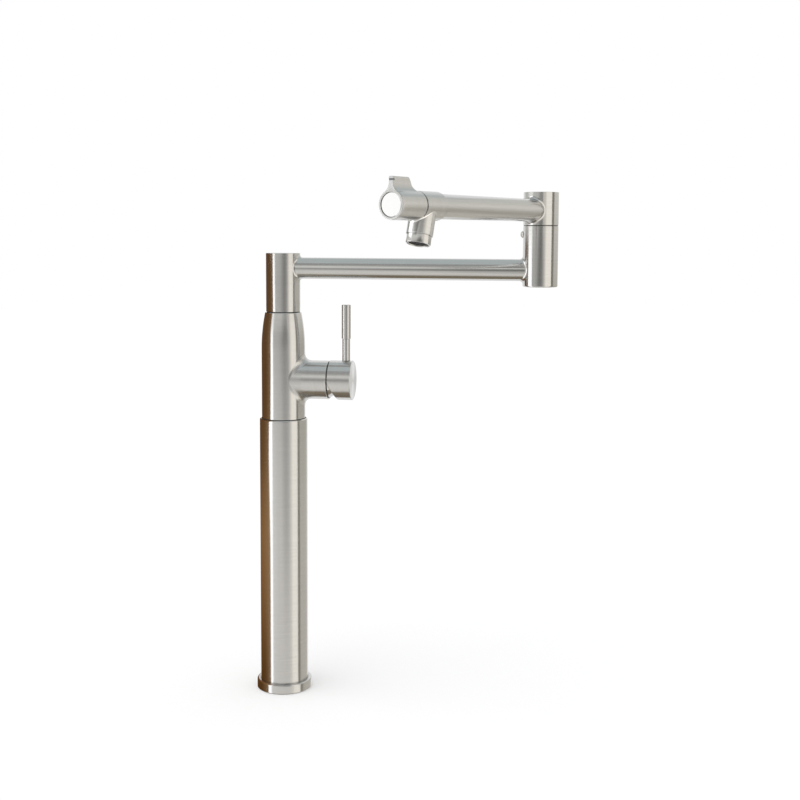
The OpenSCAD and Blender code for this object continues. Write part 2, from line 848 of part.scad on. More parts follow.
// Screw along +X whose tip runs in the spigot's groove and whose domed head stands on the wall
module swivel_screw(wall_r) {
  dome = (swivel_head_r * swivel_head_r + swivel_head_h * swivel_head_h) / (2 * swivel_head_h);
  face = wall_r - 0.3;
  difference() {
    union() {
      bar_x(1.5, journal_r + 0.6, swivel_r);
      bar_x(swivel_screw_r - snug, swivel_r - 0.1, face + 0.1);
      turned_x(concat(
        [[0, face], [swivel_head_r, face]],
        arc(0, face + 0.5 + swivel_head_h - dome, dome, acos(swivel_head_r / dome), 90, 8)
      ));
    }
    translate([face + 0.5 + swivel_head_h, 0, 0]) rotate([0, 90, 0]) hex_socket(2.5, 1.8);
  }
}

// Hole for that screw, with a spot face for the head
module swivel_screw_hole(wall_r) {
  bar_x(swivel_screw_r, 0, wall_r + over);
  bar_x(swivel_head_r + 0.1, wall_r - 0.3, wall_r + 5);
}

// Frames of the two swivel joints: the spigot stands up in one and hangs down in the other
module at_pivot() {
  translate([0, 0, body_top]) children();
}

module at_elbow() {
  translate([lower_reach, 0, elbow_z]) rotate([180, 0, 0]) children();
}

pivot_depth = sleeve_h - sleeve_cap_t;
elbow_depth = elbow_h - elbow_floor_t;

module pivot_spigot() {
  color("darkgoldenrod") at_pivot() spigot(pivot_depth);
}

module pivot_seals() {
  color("dimgray") at_pivot() swivel_seals();
}

module pivot_lower_bush() {
  color("whitesmoke") at_pivot() seam_bush();
}

module pivot_upper_bush() {
  color("whitesmoke") at_pivot() end_bush(pivot_depth);
}

// Sleeve on the column pivot, with the lower arm's socket in its side
module pivot_sleeve() {
  outline = [
    [swivel_r, seam], [sleeve_r - 0.6, seam], [sleeve_r, seam + 0.6], [sleeve_r, sleeve_h - edge / 2],
    [sleeve_r - edge / 2, sleeve_h], [swivel_r, sleeve_h]
  ];
  color("silver") difference() {
    at_pivot() rotate_extrude() polygon(outline);
    translate([0, 0, arm_z]) bar_x(arm_r + snug, 0, sleeve_r + over);
    at_pivot() translate([0, 0, screw_s]) rotate([0, 0, 90]) swivel_screw_hole(sleeve_r);
  }
}

// Disc that closes the sleeve's top
module pivot_cap() {
  color("silver") at_pivot() bar_z(swivel_r - snug, pivot_depth, sleeve_h);
}

// Retaining screw at the sleeve's back
module pivot_screw() {
  color("gray") at_pivot() translate([0, 0, screw_s]) rotate([0, 0, 90]) swivel_screw(sleeve_r);
}

// Lower arm, coped to both bores
module lower_arm_tube() {
  color("silver") difference() {
    translate([0, 0, arm_z]) ring_x(arm_r, arm_ri, 0, lower_reach);
    bar_z(swivel_r + 0.1, arm_z - arm_d, arm_z + arm_d);
    translate([lower_reach, 0, 0]) bar_z(swivel_r + 0.1, arm_z - arm_d, arm_z + arm_d);
  }
}

// Elbow's lower half: a closed cup with a rounded bottom edge
module elbow_housing() {
  round_r = 1.5;
  outline = concat(
    [[swivel_r, seam], [elbow_r - edge, seam], [elbow_r, seam + edge]],
    arc(elbow_r - round_r, elbow_h - round_r, round_r, 0, 90, 8),
    [[0, elbow_h], [0, elbow_depth], [swivel_r, elbow_depth]]
  );
  color("silver") difference() {
    at_elbow() rotate_extrude() polygon(outline);
    translate([lower_reach, 0, arm_z]) bar_x(arm_r + snug, -elbow_r - over, 0);
    at_elbow() translate([0, 0, screw_s]) rotate([0, 0, 180]) swivel_screw_hole(elbow_r);
  }
}

module elbow_lower_bush() {
  color("whitesmoke") at_elbow() end_bush(elbow_depth);
}

module elbow_upper_bush() {
  color("whitesmoke") at_elbow() seam_bush();
}

// Retaining screw on the column side of the elbow
module elbow_screw() {
  color("gray") at_elbow() translate([0, 0, screw_s]) rotate([0, 0, 180]) swivel_screw(elbow_r);
}

module elbow_spindle() {
  color("darkgoldenrod") at_elbow() spigot(elbow_depth);
}

module elbow_seals() {
  color("dimgray") at_elbow() swivel_seals();
}

// Elbow's upper half: a drum threaded for the spindle, with the upper arm's socket in its side
module elbow_head() {
  z0 = elbow_z + snug;
  cavity = elbow_r - 4;
  color("silver") difference() {
    translate([lower_reach, 0, z0]) rotate_extrude() polygon([
      [0, 0], [elbow_r - edge, 0], [elbow_r, edge], [elbow_r, elbow_head_h - edge / 2],
      [elbow_r - edge / 2, elbow_head_h], [0, elbow_head_h]
    ]);
    translate([lower_reach, 0, z0]) bar_z(thread_r + snug, -over, thread_l + over);
    translate([lower_reach, 0, z0]) bar_z(cavity, thread_l, elbow_head_h + over);
    at_upper() bar_x(arm_r + snug, 0, elbow_r + over);
  }
}

// Disc that closes the top of the elbow's upper half
module elbow_cap() {
  cap_t = 3;
  top = elbow_z + snug + elbow_head_h;
  color("silver") translate([lower_reach, 0, 0]) bar_z(elbow_r - 4 - snug, top - cap_t, top);
}

// Upper arm, coped to the elbow's cavity and pushed into the valve body
module upper_arm_tube() {
  color("silver") difference() {
    at_upper() ring_x(arm_r, arm_ri, 0, chamber_t - 3);
    translate([lower_reach, 0, 0]) bar_z(elbow_r - 4 + 0.1, upper_z - arm_d, upper_z + arm_d);
  }
}

// Valve body at the spout's tip, with the leaning outlet
module valve_body() {
  centre_r = valve_r - shoulder_r;
  lean = acos((arm_r + 0.3 - centre_r) / shoulder_r);
  outline = concat(
    [[0, valve_t]],
    arc(centre_r, valve_t + shoulder_r * sin(lean), shoulder_r, -lean, 0, 6),
    [[valve_r, seam_t - edge], [valve_r - edge, seam_t], [0, seam_t]]
  );
  color("silver") difference() {
    union() {
      at_upper() turned_x(outline);
      at_outlet() rotate_extrude() polygon([
        [0, 2], [outlet_r, 2], [outlet_r, outlet_l - edge], [outlet_r - edge, outlet_l], [0, outlet_l]
      ]);
    }
    at_upper() bar_x(handle_r + 0.4, seam_t, seam_t + handle_l);
    at_upper() bar_x(arm_r + snug, valve_t - over, chamber_t - 3);
    at_upper() bar_x(arm_ri - 1.2, chamber_t - 3 - over, chamber_t + over);
    at_upper() bar_x(chamber_r, chamber_t, seam_t + over);
    at_upper() bar_x(chamber_r + 0.55, cage_thread_t, seam_t + over);
    at_outlet() bar_z(outlet_bore_r, 0, outlet_l);
    at_outlet() bar_z(outlet_thread_r + snug, outlet_l - outlet_thread_l, outlet_l + over);
  }
}

// Two opposite quarter windows of the ceramic discs
module windows(x0, x1) {
  for (side = [-1, 1]) {
    translate([0, side * 4.6, 0]) bar_x(2.6, x0, x1);
  }
}

// Rubber ring on the valve's seat
module valve_seat_seal() {
  color("dimgray") at_upper() ring_x(chamber_r - 0.3, arm_ri - 1.2, chamber_t, valve_fixed_t);
}

module valve_fixed_disc() {
  color("linen") at_upper() difference() {
    bar_x(cage_ri - snug, valve_fixed_t, valve_fixed_t + valve_disc_t);
    windows(valve_fixed_t - over, valve_fixed_t + valve_disc_t + over);
  }
}

// Ceramic disc that the handle turns, shut with its windows upright
module valve_moving_disc() {
  color("linen") at_upper() rotate([90, 0, 0]) difference() {
    bar_x(cage_ri - 0.3, valve_moving_t, valve_moving_t + valve_disc_t);
    windows(valve_moving_t - over, valve_moving_t + valve_disc_t + over);
    translate([valve_moving_t + valve_disc_t - 1, -1.5, -cage_ri]) cube([over + 1, 3, 2 * cage_ri]);
  }
}

// Threaded headwork that holds the discs and the spindle
module valve_cage() {
  color("darkgoldenrod") at_upper() difference() {
    union() {
      bar_x(chamber_r - 0.1, valve_fixed_t, cage_thread_t + over);
      bar_x(chamber_r + 0.5, cage_thread_t, seam_t);
      bar_x(neck_r, seam_t - over, neck_t);
    }
    bar_x(cage_ri, valve_fixed_t - over, cage_floor_t);
    bar_x(spindle_r + running, cage_floor_t - over, neck_t + over);
    bar_x(spindle_r + 1.7, seam_t, seam_t + 2.6);
    translate([fork_t + 1.2, 0, 0]) bar_z(3, -chamber_r - over, chamber_r + over);
    translate([fork_t + 1.2, 0, 0]) bar_y(3, -chamber_r - over, chamber_r + over);
  }
}

// O-ring round the spindle inside the headwork's neck
module valve_spindle_seal() {
  bar = 0.8;
  color("dimgray") at_upper() translate([seam_t + 1.3, 0, 0]) rotate([0, 90, 0])
    o_ring(spindle_r + 2 * running + bar, bar, 0);
}

// Spindle with the fork that drives the moving disc
module valve_spindle() {
  color("lightgray") at_upper() difference() {
    union() {
      bar_x(cage_ri - 0.4, fork_t, fork_t + fork_l);
      rotate([90, 0, 0]) translate([fork_t - 0.9, -1.4, -cage_ri + 1.4])
        cube([1 + over, 2.8, 2 * cage_ri - 2.8]);
      bar_x(spindle_r, fork_t + over, spindle_end_t);
    }
    bar_x(1.6, spindle_end_t - 9, spindle_end_t + over);
  }
}

// Cross-section of the thumb lug, blended into the barrel by two arcs
module lug_section() {
  blend_x = lug_t / 2 + lug_blend;
  blend_z = sqrt(pow(handle_r + lug_blend, 2) - blend_x * blend_x);
  touch = 0.98 * handle_r / (handle_r + lug_blend);
  start = atan2(blend_z, blend_x);
  polygon(concat(
    [[0, 0], [-blend_x * touch, blend_z * touch]],
    arc(-blend_x, blend_z, lug_blend, -start, 0, 10),
    [[-lug_t / 2, lug_h], [lug_t / 2, lug_h]],
    arc(blend_x, blend_z, lug_blend, 180, 180 + start, 10),
    [[blend_x * touch, blend_z * touch]]
  ));
}

// Side outline of the thumb lug, from its concave tail to the handle's front
module lug_side() {
  front = handle_t + handle_l;
  back = front - lug_l;
  foot = lug_blend * 0.85;
  tail_z = handle_r - 0.6;
  rotate([90, 0, 0]) linear_extrude(height = 4 * handle_r, center = true) polygon(concat(
    [[back - 2.6 - foot, 0]],
    arc(back - 2.6 - foot, tail_z + foot, foot, 270, 351, 8),
    [[back, lug_h - 0.8], [back + 0.8, lug_h], [front, lug_h], [front, 0]]
  ));
}

// Handle: a turned shell with a thumb lug, a splined boss inside and a recess for its cap
module handle_shell() {
  front = handle_t + handle_l;
  color("silver") at_upper() difference() {
    union() {
      turned_x([
        [0, handle_t], [handle_r - edge, handle_t], [handle_r, handle_t + edge], [handle_r, front - edge],
        [handle_r - edge, front], [0, front]
      ]);
      intersection() {
        translate([handle_t, 0, 0]) rotate([90, 0, 90]) linear_extrude(height = handle_l) lug_section();
        lug_side();
      }
    }
    bar_x(handle_r - 2, handle_t - over, boss_t);
    bar_x(spindle_r + snug, boss_t - over, boss_t + boss_l - 0.8);
    bar_x(2.2, boss_t, boss_t + boss_l + over);
    bar_x(cap_r, boss_t + boss_l, front + over);
    translate([front - 0.6, -lug_t, lug_h - 4.2]) cube([over, 2 * lug_t, 1.6]);
  }
}

// Screw that holds the handle on the spindle
module handle_screw() {
  head_t = boss_t + boss_l;
  color("gray") at_upper() difference() {
    union() {
      bar_x(1.55, spindle_end_t - 7, head_t + 0.5);
      bar_x(3.6, head_t, head_t + 2.8);
    }
    translate([head_t + 2.8, 0, 0]) rotate([0, 90, 0]) hex_socket(2.5, 1.6);
  }
}

// Polished cap in the handle's front, with a stub that rests on the screw's seat
module handle_cap() {
  front = handle_t + handle_l - 0.4;
  back = boss_t + boss_l;
  color("white") at_upper() difference() {
    union() {
      turned_x([
        [0, front - cap_l], [cap_r - 0.15, front - cap_l], [cap_r - 0.15, front - 0.6],
        [cap_r - 0.75, front], [0, front]
      ]);
      bar_x(cap_r - 0.15, back, front - cap_l + 0.5);
    }
    bar_x(cap_r - 1.6, back - over, front - cap_l);
  }
}

// Rubber washer above the aerator
module aerator_washer() {
  z = outlet_l - outlet_thread_l;
  color("dimgray") at_outlet() ring_z(outlet_thread_r - 0.3, outlet_bore_r - 1.4, z, z + 1.5);
}

// Threaded housing of the aerator, with its skirt below the outlet
module aerator_housing() {
  z = outlet_l - outlet_thread_l + 1.5;
  bottom = outlet_l + aerator_l;
  inner = outlet_bore_r - 0.4;
  outline = [
    [inner, z], [outlet_thread_r, z], [outlet_thread_r, outlet_l + 0.2], [aerator_r, outlet_l + 0.2],
    [aerator_r, bottom - 0.6], [aerator_r - 0.6, bottom], [inner - 1, bottom], [inner - 1, bottom - 1.4],
    [inner, bottom - 1.4]
  ];
  color("silver") at_outlet() rotate_extrude() polygon(outline);
}

// Flow insert with a grid of slots, resting on the housing's inner lip
module aerator_insert() {
  z = outlet_l - outlet_thread_l + 1.6;
  bottom = outlet_l + aerator_l - 1.4;
  outer = outlet_bore_r - 0.4 - snug;
  pitch = 2.4;
  color("dimgray") at_outlet() difference() {
    bar_z(outer, z, bottom);
    bar_z(outer - 1.2, z - over, bottom - 2.2);
    for (i = [-2:2]) {
      for (j = [-2:2]) {
        if (norm([i, j]) < 2.5) {
          translate([i * pitch, j * pitch, 0]) bar_z(0.8, bottom - 2.2 - over, bottom + over);
        }
      }
    }
  }
}

deck_gasket();
base_ring();
column_foot();
foot_grub_screws();
threaded_shank();
worktop_washer();
clamp_washer();
clamp_nut();
jacking_screws();
column_tube();
column_head();
body_screws();
hot_feed_pipe();
cold_feed_pipe();
feed_pipe_seals();
mixer_body();
cartridge_seal();
cartridge_base();
fixed_disc();
moving_disc();
disc_driver();
cartridge_carrier();
cartridge_case();
cartridge_nut();
cartridge_cover();
lever_stem();
stem_pin();
lever_hub();
hub_set_screw();
lever_rod();
pivot_spigot();
pivot_seals();
pivot_lower_bush();
pivot_upper_bush();
pivot_sleeve();
pivot_cap();
pivot_screw();
lower_arm_tube();
elbow_housing();
elbow_lower_bush();
elbow_upper_bush();
elbow_screw();
elbow_spindle();
elbow_seals();
elbow_head();
elbow_cap();
upper_arm_tube();
valve_body();
valve_seat_seal();
valve_fixed_disc();
valve_moving_disc();
valve_cage();
valve_spindle_seal();
valve_spindle();
handle_shell();
handle_screw();
handle_cap();
aerator_washer();
aerator_housing();
aerator_insert();
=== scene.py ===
import math
import bmesh
import bpy
from mathutils import Matrix, Vector


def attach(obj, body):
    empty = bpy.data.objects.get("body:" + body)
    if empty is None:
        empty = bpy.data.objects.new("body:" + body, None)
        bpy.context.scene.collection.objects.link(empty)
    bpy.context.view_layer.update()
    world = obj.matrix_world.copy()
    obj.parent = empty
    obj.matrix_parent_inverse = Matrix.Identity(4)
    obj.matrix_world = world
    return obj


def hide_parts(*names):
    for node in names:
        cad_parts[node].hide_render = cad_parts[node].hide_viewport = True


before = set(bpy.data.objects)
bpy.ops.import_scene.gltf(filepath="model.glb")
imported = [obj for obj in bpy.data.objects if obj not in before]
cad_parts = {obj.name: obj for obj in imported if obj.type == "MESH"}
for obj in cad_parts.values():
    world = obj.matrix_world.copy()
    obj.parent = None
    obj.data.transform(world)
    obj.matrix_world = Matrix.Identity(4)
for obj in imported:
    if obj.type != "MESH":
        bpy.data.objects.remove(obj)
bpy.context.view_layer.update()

# ---------------------------------------------------------------- Gasket and worktop washer
# The gasket seals the foot of the tap on the worktop and the washer grips from below.
# Both are punched from EPDM rubber sheet, and the O-rings further up are moulded from the same rubber.


def linear(code):
    """The linear colour of an sRGB hex code."""
    parts = [int(code[i:i + 2], 16) / 255 for i in (0, 2, 4)]
    return tuple(c / 12.92 if c <= 0.04045 else ((c + 0.055) / 1.055) ** 2.4 for c in parts) + (1.0,)


def add(tree, kind, inputs=None, **settings):
    """Adds a node with its settings; inputs maps a socket's name or number to a value or to another node's
    output."""
    node = tree.nodes.new(kind)
    for key, value in settings.items():
        setattr(node, key, value)
    for key, value in (inputs or {}).items():
        if isinstance(value, bpy.types.NodeSocket):
            tree.links.new(value, node.inputs[key])
        else:
            node.inputs[key].default_value = value
    return node


def blank_material(name):
    """A new material and its empty node tree."""
    material = bpy.data.materials.new(name)
    material.use_nodes = True
    material.node_tree.nodes.clear()
    return material, material.node_tree


def dress(material, *names):
    """Gives the CAD nodes of these names one material."""
    for name in names:
        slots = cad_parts[name].material_slots
        for slot in slots:
            slot.material = material
        if not slots:
            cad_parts[name].data.materials.append(material)


# EPDM rubber: near black, matt, with the fine grain of the mould or the calender.
epdm_rubber, tree = blank_material("epdm_rubber_moulded")
place = add(tree, "ShaderNodeTexCoord").outputs["Object"]
grain = add(tree, "ShaderNodeTexNoise", {"Vector": place, "Scale": 1400, "Detail": 3})
shader = add(tree, "ShaderNodeBsdfPrincipled", {
    "Base Color": linear("232324"),
    "Roughness": 0.62,
    "Specular IOR Level": 0.4,
    "Normal": add(tree, "ShaderNodeBump", {
        "Strength": 0.5, "Distance": 0.00008, "Height": grain.outputs[0]}).outputs[0],
})
add(tree, "ShaderNodeOutputMaterial", {"Surface": shader.outputs[0]})
dress(epdm_rubber, "deck_gasket", "worktop_washer", "feed_pipe_seals", "cartridge_seal", "pivot_seals",
      "elbow_seals", "valve_seat_seal", "valve_spindle_seal", "aerator_washer")

# ---------------------------------------------------------------- Column foot, base ring and column tube
# A drawn stainless tube with a rounded top edge stands in a turned ring that hides the gasket.
# Inside are the foot plug that the shank screws into and the brazed ring that carries the mixer body.

STEEL, STEEL_DARK = "CECECD", "C7C7C6"
GRAIN_WIDTH, GRAIN_LENGTH = 0.0009, 0.03


def satin_steel(name, centre, axis, outer=None, lengthwise=False, roughness=0.21, stretch=0.85):
    """Satin stainless steel, ground round an axis, or along it where it is lengthwise. outer is (point,
    direction, second centre, second axis): past that plane the second axis holds, for a piece that is turned
    round two axes."""
    cell = [GRAIN_WIDTH] * 2 + [GRAIN_LENGTH] if lengthwise else [GRAIN_LENGTH] * 2 + [GRAIN_WIDTH]
    material, tree = blank_material(name)
    place = add(tree, "ShaderNodeTexCoord").outputs["Object"]

    def round_axis(point, way):
        """The direction across the grinding lines: along the axis on walls, radial on end faces."""
        way = Vector(way).normalized()
        arm = add(tree, "ShaderNodeVectorMath", {0: place, 1: point}, operation="SUBTRACT").outputs[0]
        along = add(tree, "ShaderNodeVectorMath", {0: arm, 1: way}, operation="DOT_PRODUCT").outputs["Value"]
        lift = add(tree, "ShaderNodeVectorMath", {0: way, "Scale": along}, operation="SCALE").outputs[0]
        across = add(tree, "ShaderNodeVectorMath", {0: arm, 1: lift}, operation="SUBTRACT").outputs[0]
        unit = add(tree, "ShaderNodeVectorMath", {0: across}, operation="NORMALIZE").outputs[0]
        return add(tree, "ShaderNodeVectorMath", {0: unit, 1: way}, operation="ADD").outputs[0]

    def grinding(point, way):
        """Grinding lines of about 0.9 mm, drawn coarser than the real grit of 0.1 mm so that they show."""
        turn = Vector((0, 0, 1)).rotation_difference(Vector(way)).to_euler()
        spot = add(tree, "ShaderNodeMapping", {
            "Vector": place, "Location": point, "Rotation": turn, "Scale": cell},
            vector_type="TEXTURE").outputs[0]
        return add(tree, "ShaderNodeTexNoise", {
            "Vector": spot, "Scale": 1, "Detail": 3, "Roughness": 0.65}).outputs[0]

    across, lines = round_axis(centre, axis), grinding(centre, axis)
    if outer:
        point, way, centre_2, axis_2 = outer
        depth = add(tree, "ShaderNodeVectorMath", {0: place, 1: point}, operation="SUBTRACT").outputs[0]
        depth = add(tree, "ShaderNodeVectorMath", {0: depth, 1: way},
                    operation="DOT_PRODUCT").outputs["Value"]
        past = add(tree, "ShaderNodeMath", {0: depth, 1: 0.0}, operation="GREATER_THAN").outputs[0]
        across = add(tree, "ShaderNodeMix", {0: past, 4: across, 5: round_axis(centre_2, axis_2)},
                     data_type="VECTOR").outputs[1]
        lines = add(tree, "ShaderNodeMix", {0: past, 2: lines, 3: grinding(centre_2, axis_2)},
                    data_type="FLOAT").outputs[0]
    tint = add(tree, "ShaderNodeMapRange", {"Value": lines, "From Min": 0.3, "From Max": 0.7}).outputs[0]
    shader = add(tree, "ShaderNodeBsdfPrincipled", {
        "Base Color": add(tree, "ShaderNodeMix", {0: tint, 6: linear(STEEL_DARK), 7: linear(STEEL)},
                          data_type="RGBA").outputs[2],
        "Metallic": 1.0,
        "Roughness": roughness,
        "Anisotropic": stretch,
        "Tangent": add(tree, "ShaderNodeVectorTransform", {0: across},
                       vector_type="VECTOR", convert_from="OBJECT", convert_to="WORLD").outputs[0],
        "Normal": add(tree, "ShaderNodeBump", {
            "Strength": 0.25, "Distance": 0.0000016, "Height": lines}).outputs[0],
    })
    add(tree, "ShaderNodeOutputMaterial", {"Surface": shader.outputs[0]})
    return material


# Column and ring: satin stainless, ground round the column's axis, so lights run up it as long soft bands.
column_steel = satin_steel("satin_stainless_column", (0, 0, 0), (0, 0, 1))
dress(column_steel, "base_ring", "column_tube")

# Machined mild stainless: plain turning without the satin grind, seen only with the tap apart.
machined_steel, tree = blank_material("machined_stainless")
place = add(tree, "ShaderNodeTexCoord").outputs["Object"]
feed = add(tree, "ShaderNodeTexWave", {"Vector": place, "Scale": 260, "Distortion": 0.4, "Detail": 1},
           wave_type="BANDS", bands_direction="Z")
shader = add(tree, "ShaderNodeBsdfPrincipled", {
    "Base Color": linear("B9B8B4"),
    "Metallic": 1.0,
    "Roughness": 0.36,
    "Normal": add(tree, "ShaderNodeBump", {
        "Strength": 0.3, "Distance": 0.00001, "Height": feed.outputs[1]}).outputs[0],
})
add(tree, "ShaderNodeOutputMaterial", {"Surface": shader.outputs[0]})
dress(machined_steel, "column_foot", "column_head", "lever_stem", "valve_spindle", "stem_pin")

# ---------------------------------------------------------------- Threaded shank and clamp nut
# A hollow brass shank with a rolled M33 x 1.5 thread goes down through the worktop, and a round nut on
# it carries the two jacking screws. The thread is plain for the last 20 mm, where a spanner tube starts.

MM = 0.001


def finished(name, bm, sharp=32):
    """Turns a bmesh into an object with smooth faces, and crisp edges where they turn by more than sharp
    degrees."""
    mesh = bpy.data.meshes.new(name)
    bm.to_mesh(mesh)
    bm.free()
    mesh.shade_smooth()
    mesh.set_sharp_from_angle(angle=math.radians(sharp))
    piece = bpy.data.objects.new(name, mesh)
    bpy.context.scene.collection.objects.link(piece)
    return piece


def join_rings(bm, rings):
    """Faces between neighbouring rings, and between the last one and the first."""
    for i, one in enumerate(rings):
        two = rings[(i + 1) % len(rings)]
        for j in range(len(one)):
            k = (j + 1) % len(one)
            bm.faces.new((one[j], two[j], two[k], one[k]))


def lathe(name, outline, steps=128):
    """A turned ring: a closed outline of (radius, height) in mm, swept round Z."""
    bm = bmesh.new()
    rings = []
    for i in range(steps):
        a = 2 * math.pi * i / steps
        rings.append([bm.verts.new((r * MM * math.cos(a), r * MM * math.sin(a), z * MM)) for r, z in outline])
    join_rings(bm, rings)
    bmesh.ops.remove_doubles(bm, verts=bm.verts, dist=1e-7)
    bmesh.ops.recalc_face_normals(bm, faces=bm.faces)
    return finished(name, bm)


def fit(piece, body, material):
    """Puts a finished piece on its body with its slot and material."""
    piece.data.materials.clear()
    piece.data.materials.append(material)
    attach(piece, body)
    return piece


# Turned brass: warm yellow, with the faint feed lines of the lathe tool.
turned_brass, tree = blank_material("turned_brass")
place = add(tree, "ShaderNodeTexCoord").outputs["Object"]
feed = add(tree, "ShaderNodeTexWave", {"Vector": place, "Scale": 300, "Distortion": 0.6, "Detail": 1},
           wave_type="BANDS", bands_direction="Z")
shader = add(tree, "ShaderNodeBsdfPrincipled", {
    "Base Color": linear("D6B36A"),
    "Metallic": 1.0,
    "Roughness": 0.3,
    "Normal": add(tree, "ShaderNodeBump", {
        "Strength": 0.25, "Distance": 0.00001, "Height": feed.outputs[1]}).outputs[0],
})
add(tree, "ShaderNodeOutputMaterial", {"Surface": shader.outputs[0]})
dress(turned_brass, "threaded_shank", "clamp_nut", "cartridge_nut", "pivot_spigot", "elbow_spindle",
      "valve_cage")

SHANK_R, SHANK_BORE_R, THREAD_DEPTH, THREAD_PITCH = 16.5, 12.75, 0.8, 1.5
THREAD_FOOT, THREAD_TOP, SHANK_FOOT, SHANK_TOP = -57.0, 18.6, -78.0, 20.0
core_r = SHANK_R - THREAD_DEPTH
shank = lathe("shank_core", [
    (SHANK_BORE_R, SHANK_FOOT), (SHANK_R - 1, SHANK_FOOT), (SHANK_R, SHANK_FOOT + 1),
    (SHANK_R, THREAD_FOOT - THREAD_DEPTH), (core_r, THREAD_FOOT), (core_r, SHANK_TOP - 0.6),
    (core_r - 0.6, SHANK_TOP), (SHANK_BORE_R, SHANK_TOP),
], steps=96)
fit(shank, "column", turned_brass)
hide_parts("threaded_shank")


def geometry_tree(name, *numbers):
    """A geometry tree with these numbers and a Finish material as inputs, and its inputs' sockets."""
    tree = bpy.data.node_groups.new(name, "GeometryNodeTree")
    for label in numbers:
        tree.interface.new_socket(label, in_out="INPUT", socket_type="NodeSocketFloat")
    tree.interface.new_socket("Finish", in_out="INPUT", socket_type="NodeSocketMaterial")
    tree.interface.new_socket("Geometry", in_out="OUTPUT", socket_type="NodeSocketGeometry")
    return tree, add(tree, "NodeGroupInput").outputs


# The thread is a ridge that winds up the core, swept from a three-sided bar along a spiral.
winding, given = geometry_tree("rolled_thread", "Root radius", "Pitch", "Turns", "Depth", "Foot")
rise = add(winding, "ShaderNodeMath", {0: given["Pitch"], 1: given["Turns"]}, operation="MULTIPLY").outputs[0]
spiral = add(winding, "GeometryNodeCurveSpiral", {
    "Resolution": 40, "Rotations": given["Turns"], "Start Radius": given["Root radius"],
    "End Radius": given["Root radius"], "Height": rise})
untwisted = add(winding, "GeometryNodeSetCurveNormal", {"Curve": spiral.outputs[0]}, mode="Z_UP")
bar = add(winding, "GeometryNodeCurvePrimitiveCircle", {"Resolution": 3, "Radius": given["Depth"]})
ridge = add(winding, "GeometryNodeCurveToMesh", {
    "Curve": untwisted.outputs[0], "Profile Curve": bar.outputs[0], "Fill Caps": True})
foot = add(winding, "ShaderNodeCombineXYZ", {"Z": given["Foot"]})
lifted = add(winding, "GeometryNodeTransform", {"Geometry": ridge.outputs[0], "Translation": foot.outputs[0]})
real = add(winding, "GeometryNodeRealizeInstances", {0: lifted.outputs[0]})
finish = add(winding, "GeometryNodeSetMaterial", {"Geometry": real.outputs[0], "Material": given["Finish"]})
add(winding, "NodeGroupOutput", {0: finish.outputs[0]})


def grown(name, tree, **inputs):
    """Runs a geometry tree with these inputs and keeps its result as a plain mesh."""
    piece = bpy.data.objects.new(name, bpy.data.meshes.new(name))
    bpy.context.scene.collection.objects.link(piece)
    modifier = piece.modifiers.new(name, "NODES")
    modifier.node_group = tree
    for item in tree.interface.items_tree:
        if item.in_out == "INPUT":
            modifier[item.identifier] = inputs[item.name.replace(" ", "_").lower()]
    mesh = bpy.data.meshes.new_from_object(piece.evaluated_get(bpy.context.evaluated_depsgraph_get()))
    piece.modifiers.clear()
    piece.data = mesh
    return piece


thread = grown("shank_thread", winding, root_radius=core_r * MM, pitch=THREAD_PITCH * MM,
               depth=THREAD_DEPTH * MM, turns=(THREAD_TOP - THREAD_FOOT) / THREAD_PITCH,
               foot=THREAD_FOOT * MM, finish=turned_brass)
fit(thread, "column", turned_brass)

# ---------------------------------------------------------------- Screws and steel washer
# Bright zinc-plated fixings below the worktop, stainless screws above it.
# They are turned or pressed, and then tumbled.

# Zinc-plated steel: cool, slightly cloudy passivation over a pressed or rolled surface.
zinc_steel, tree = blank_material("zinc_plated_steel")
place = add(tree, "ShaderNodeTexCoord").outputs["Object"]
cloud = add(tree, "ShaderNodeTexNoise", {"Vector": place, "Scale": 220, "Detail": 4, "Roughness": 0.6})
shader = add(tree, "ShaderNodeBsdfPrincipled", {
    "Base Color": add(tree, "ShaderNodeMix", {0: cloud.outputs[0], 6: linear("A9AFB6"), 7: linear("C2C8CF")},
                      data_type="RGBA").outputs[2],
    "Metallic": 1.0,
    "Roughness": 0.34,
})
add(tree, "ShaderNodeOutputMaterial", {"Surface": shader.outputs[0]})
dress(zinc_steel, "clamp_washer", "jacking_screws", "body_screws", "foot_grub_screws")

# Stainless screws: plain tumbled A2 steel, a little brighter and smoother than the satin parts.
screw_steel, tree = blank_material("tumbled_a2_steel")
place = add(tree, "ShaderNodeTexCoord").outputs["Object"]
dimple = add(tree, "ShaderNodeTexNoise", {"Vector": place, "Scale": 1800, "Detail": 2})
shader = add(tree, "ShaderNodeBsdfPrincipled", {
    "Base Color": linear("C6C4C0"),
    "Metallic": 1.0,
    "Roughness": 0.24,
    "Normal": add(tree, "ShaderNodeBump", {
        "Strength": 0.2, "Distance": 0.00002, "Height": dimple.outputs[0]}).outputs[0],
})
add(tree, "ShaderNodeOutputMaterial", {"Surface": shader.outputs[0]})
dress(screw_steel, "pivot_screw", "elbow_screw", "hub_set_screw", "handle_screw")

# ---------------------------------------------------------------- Feed pipes
# Two hard-drawn 10 mm copper pipes run from the mixer body down through the shank.
# They are open at the bottom, where the supply hoses are clamped on.

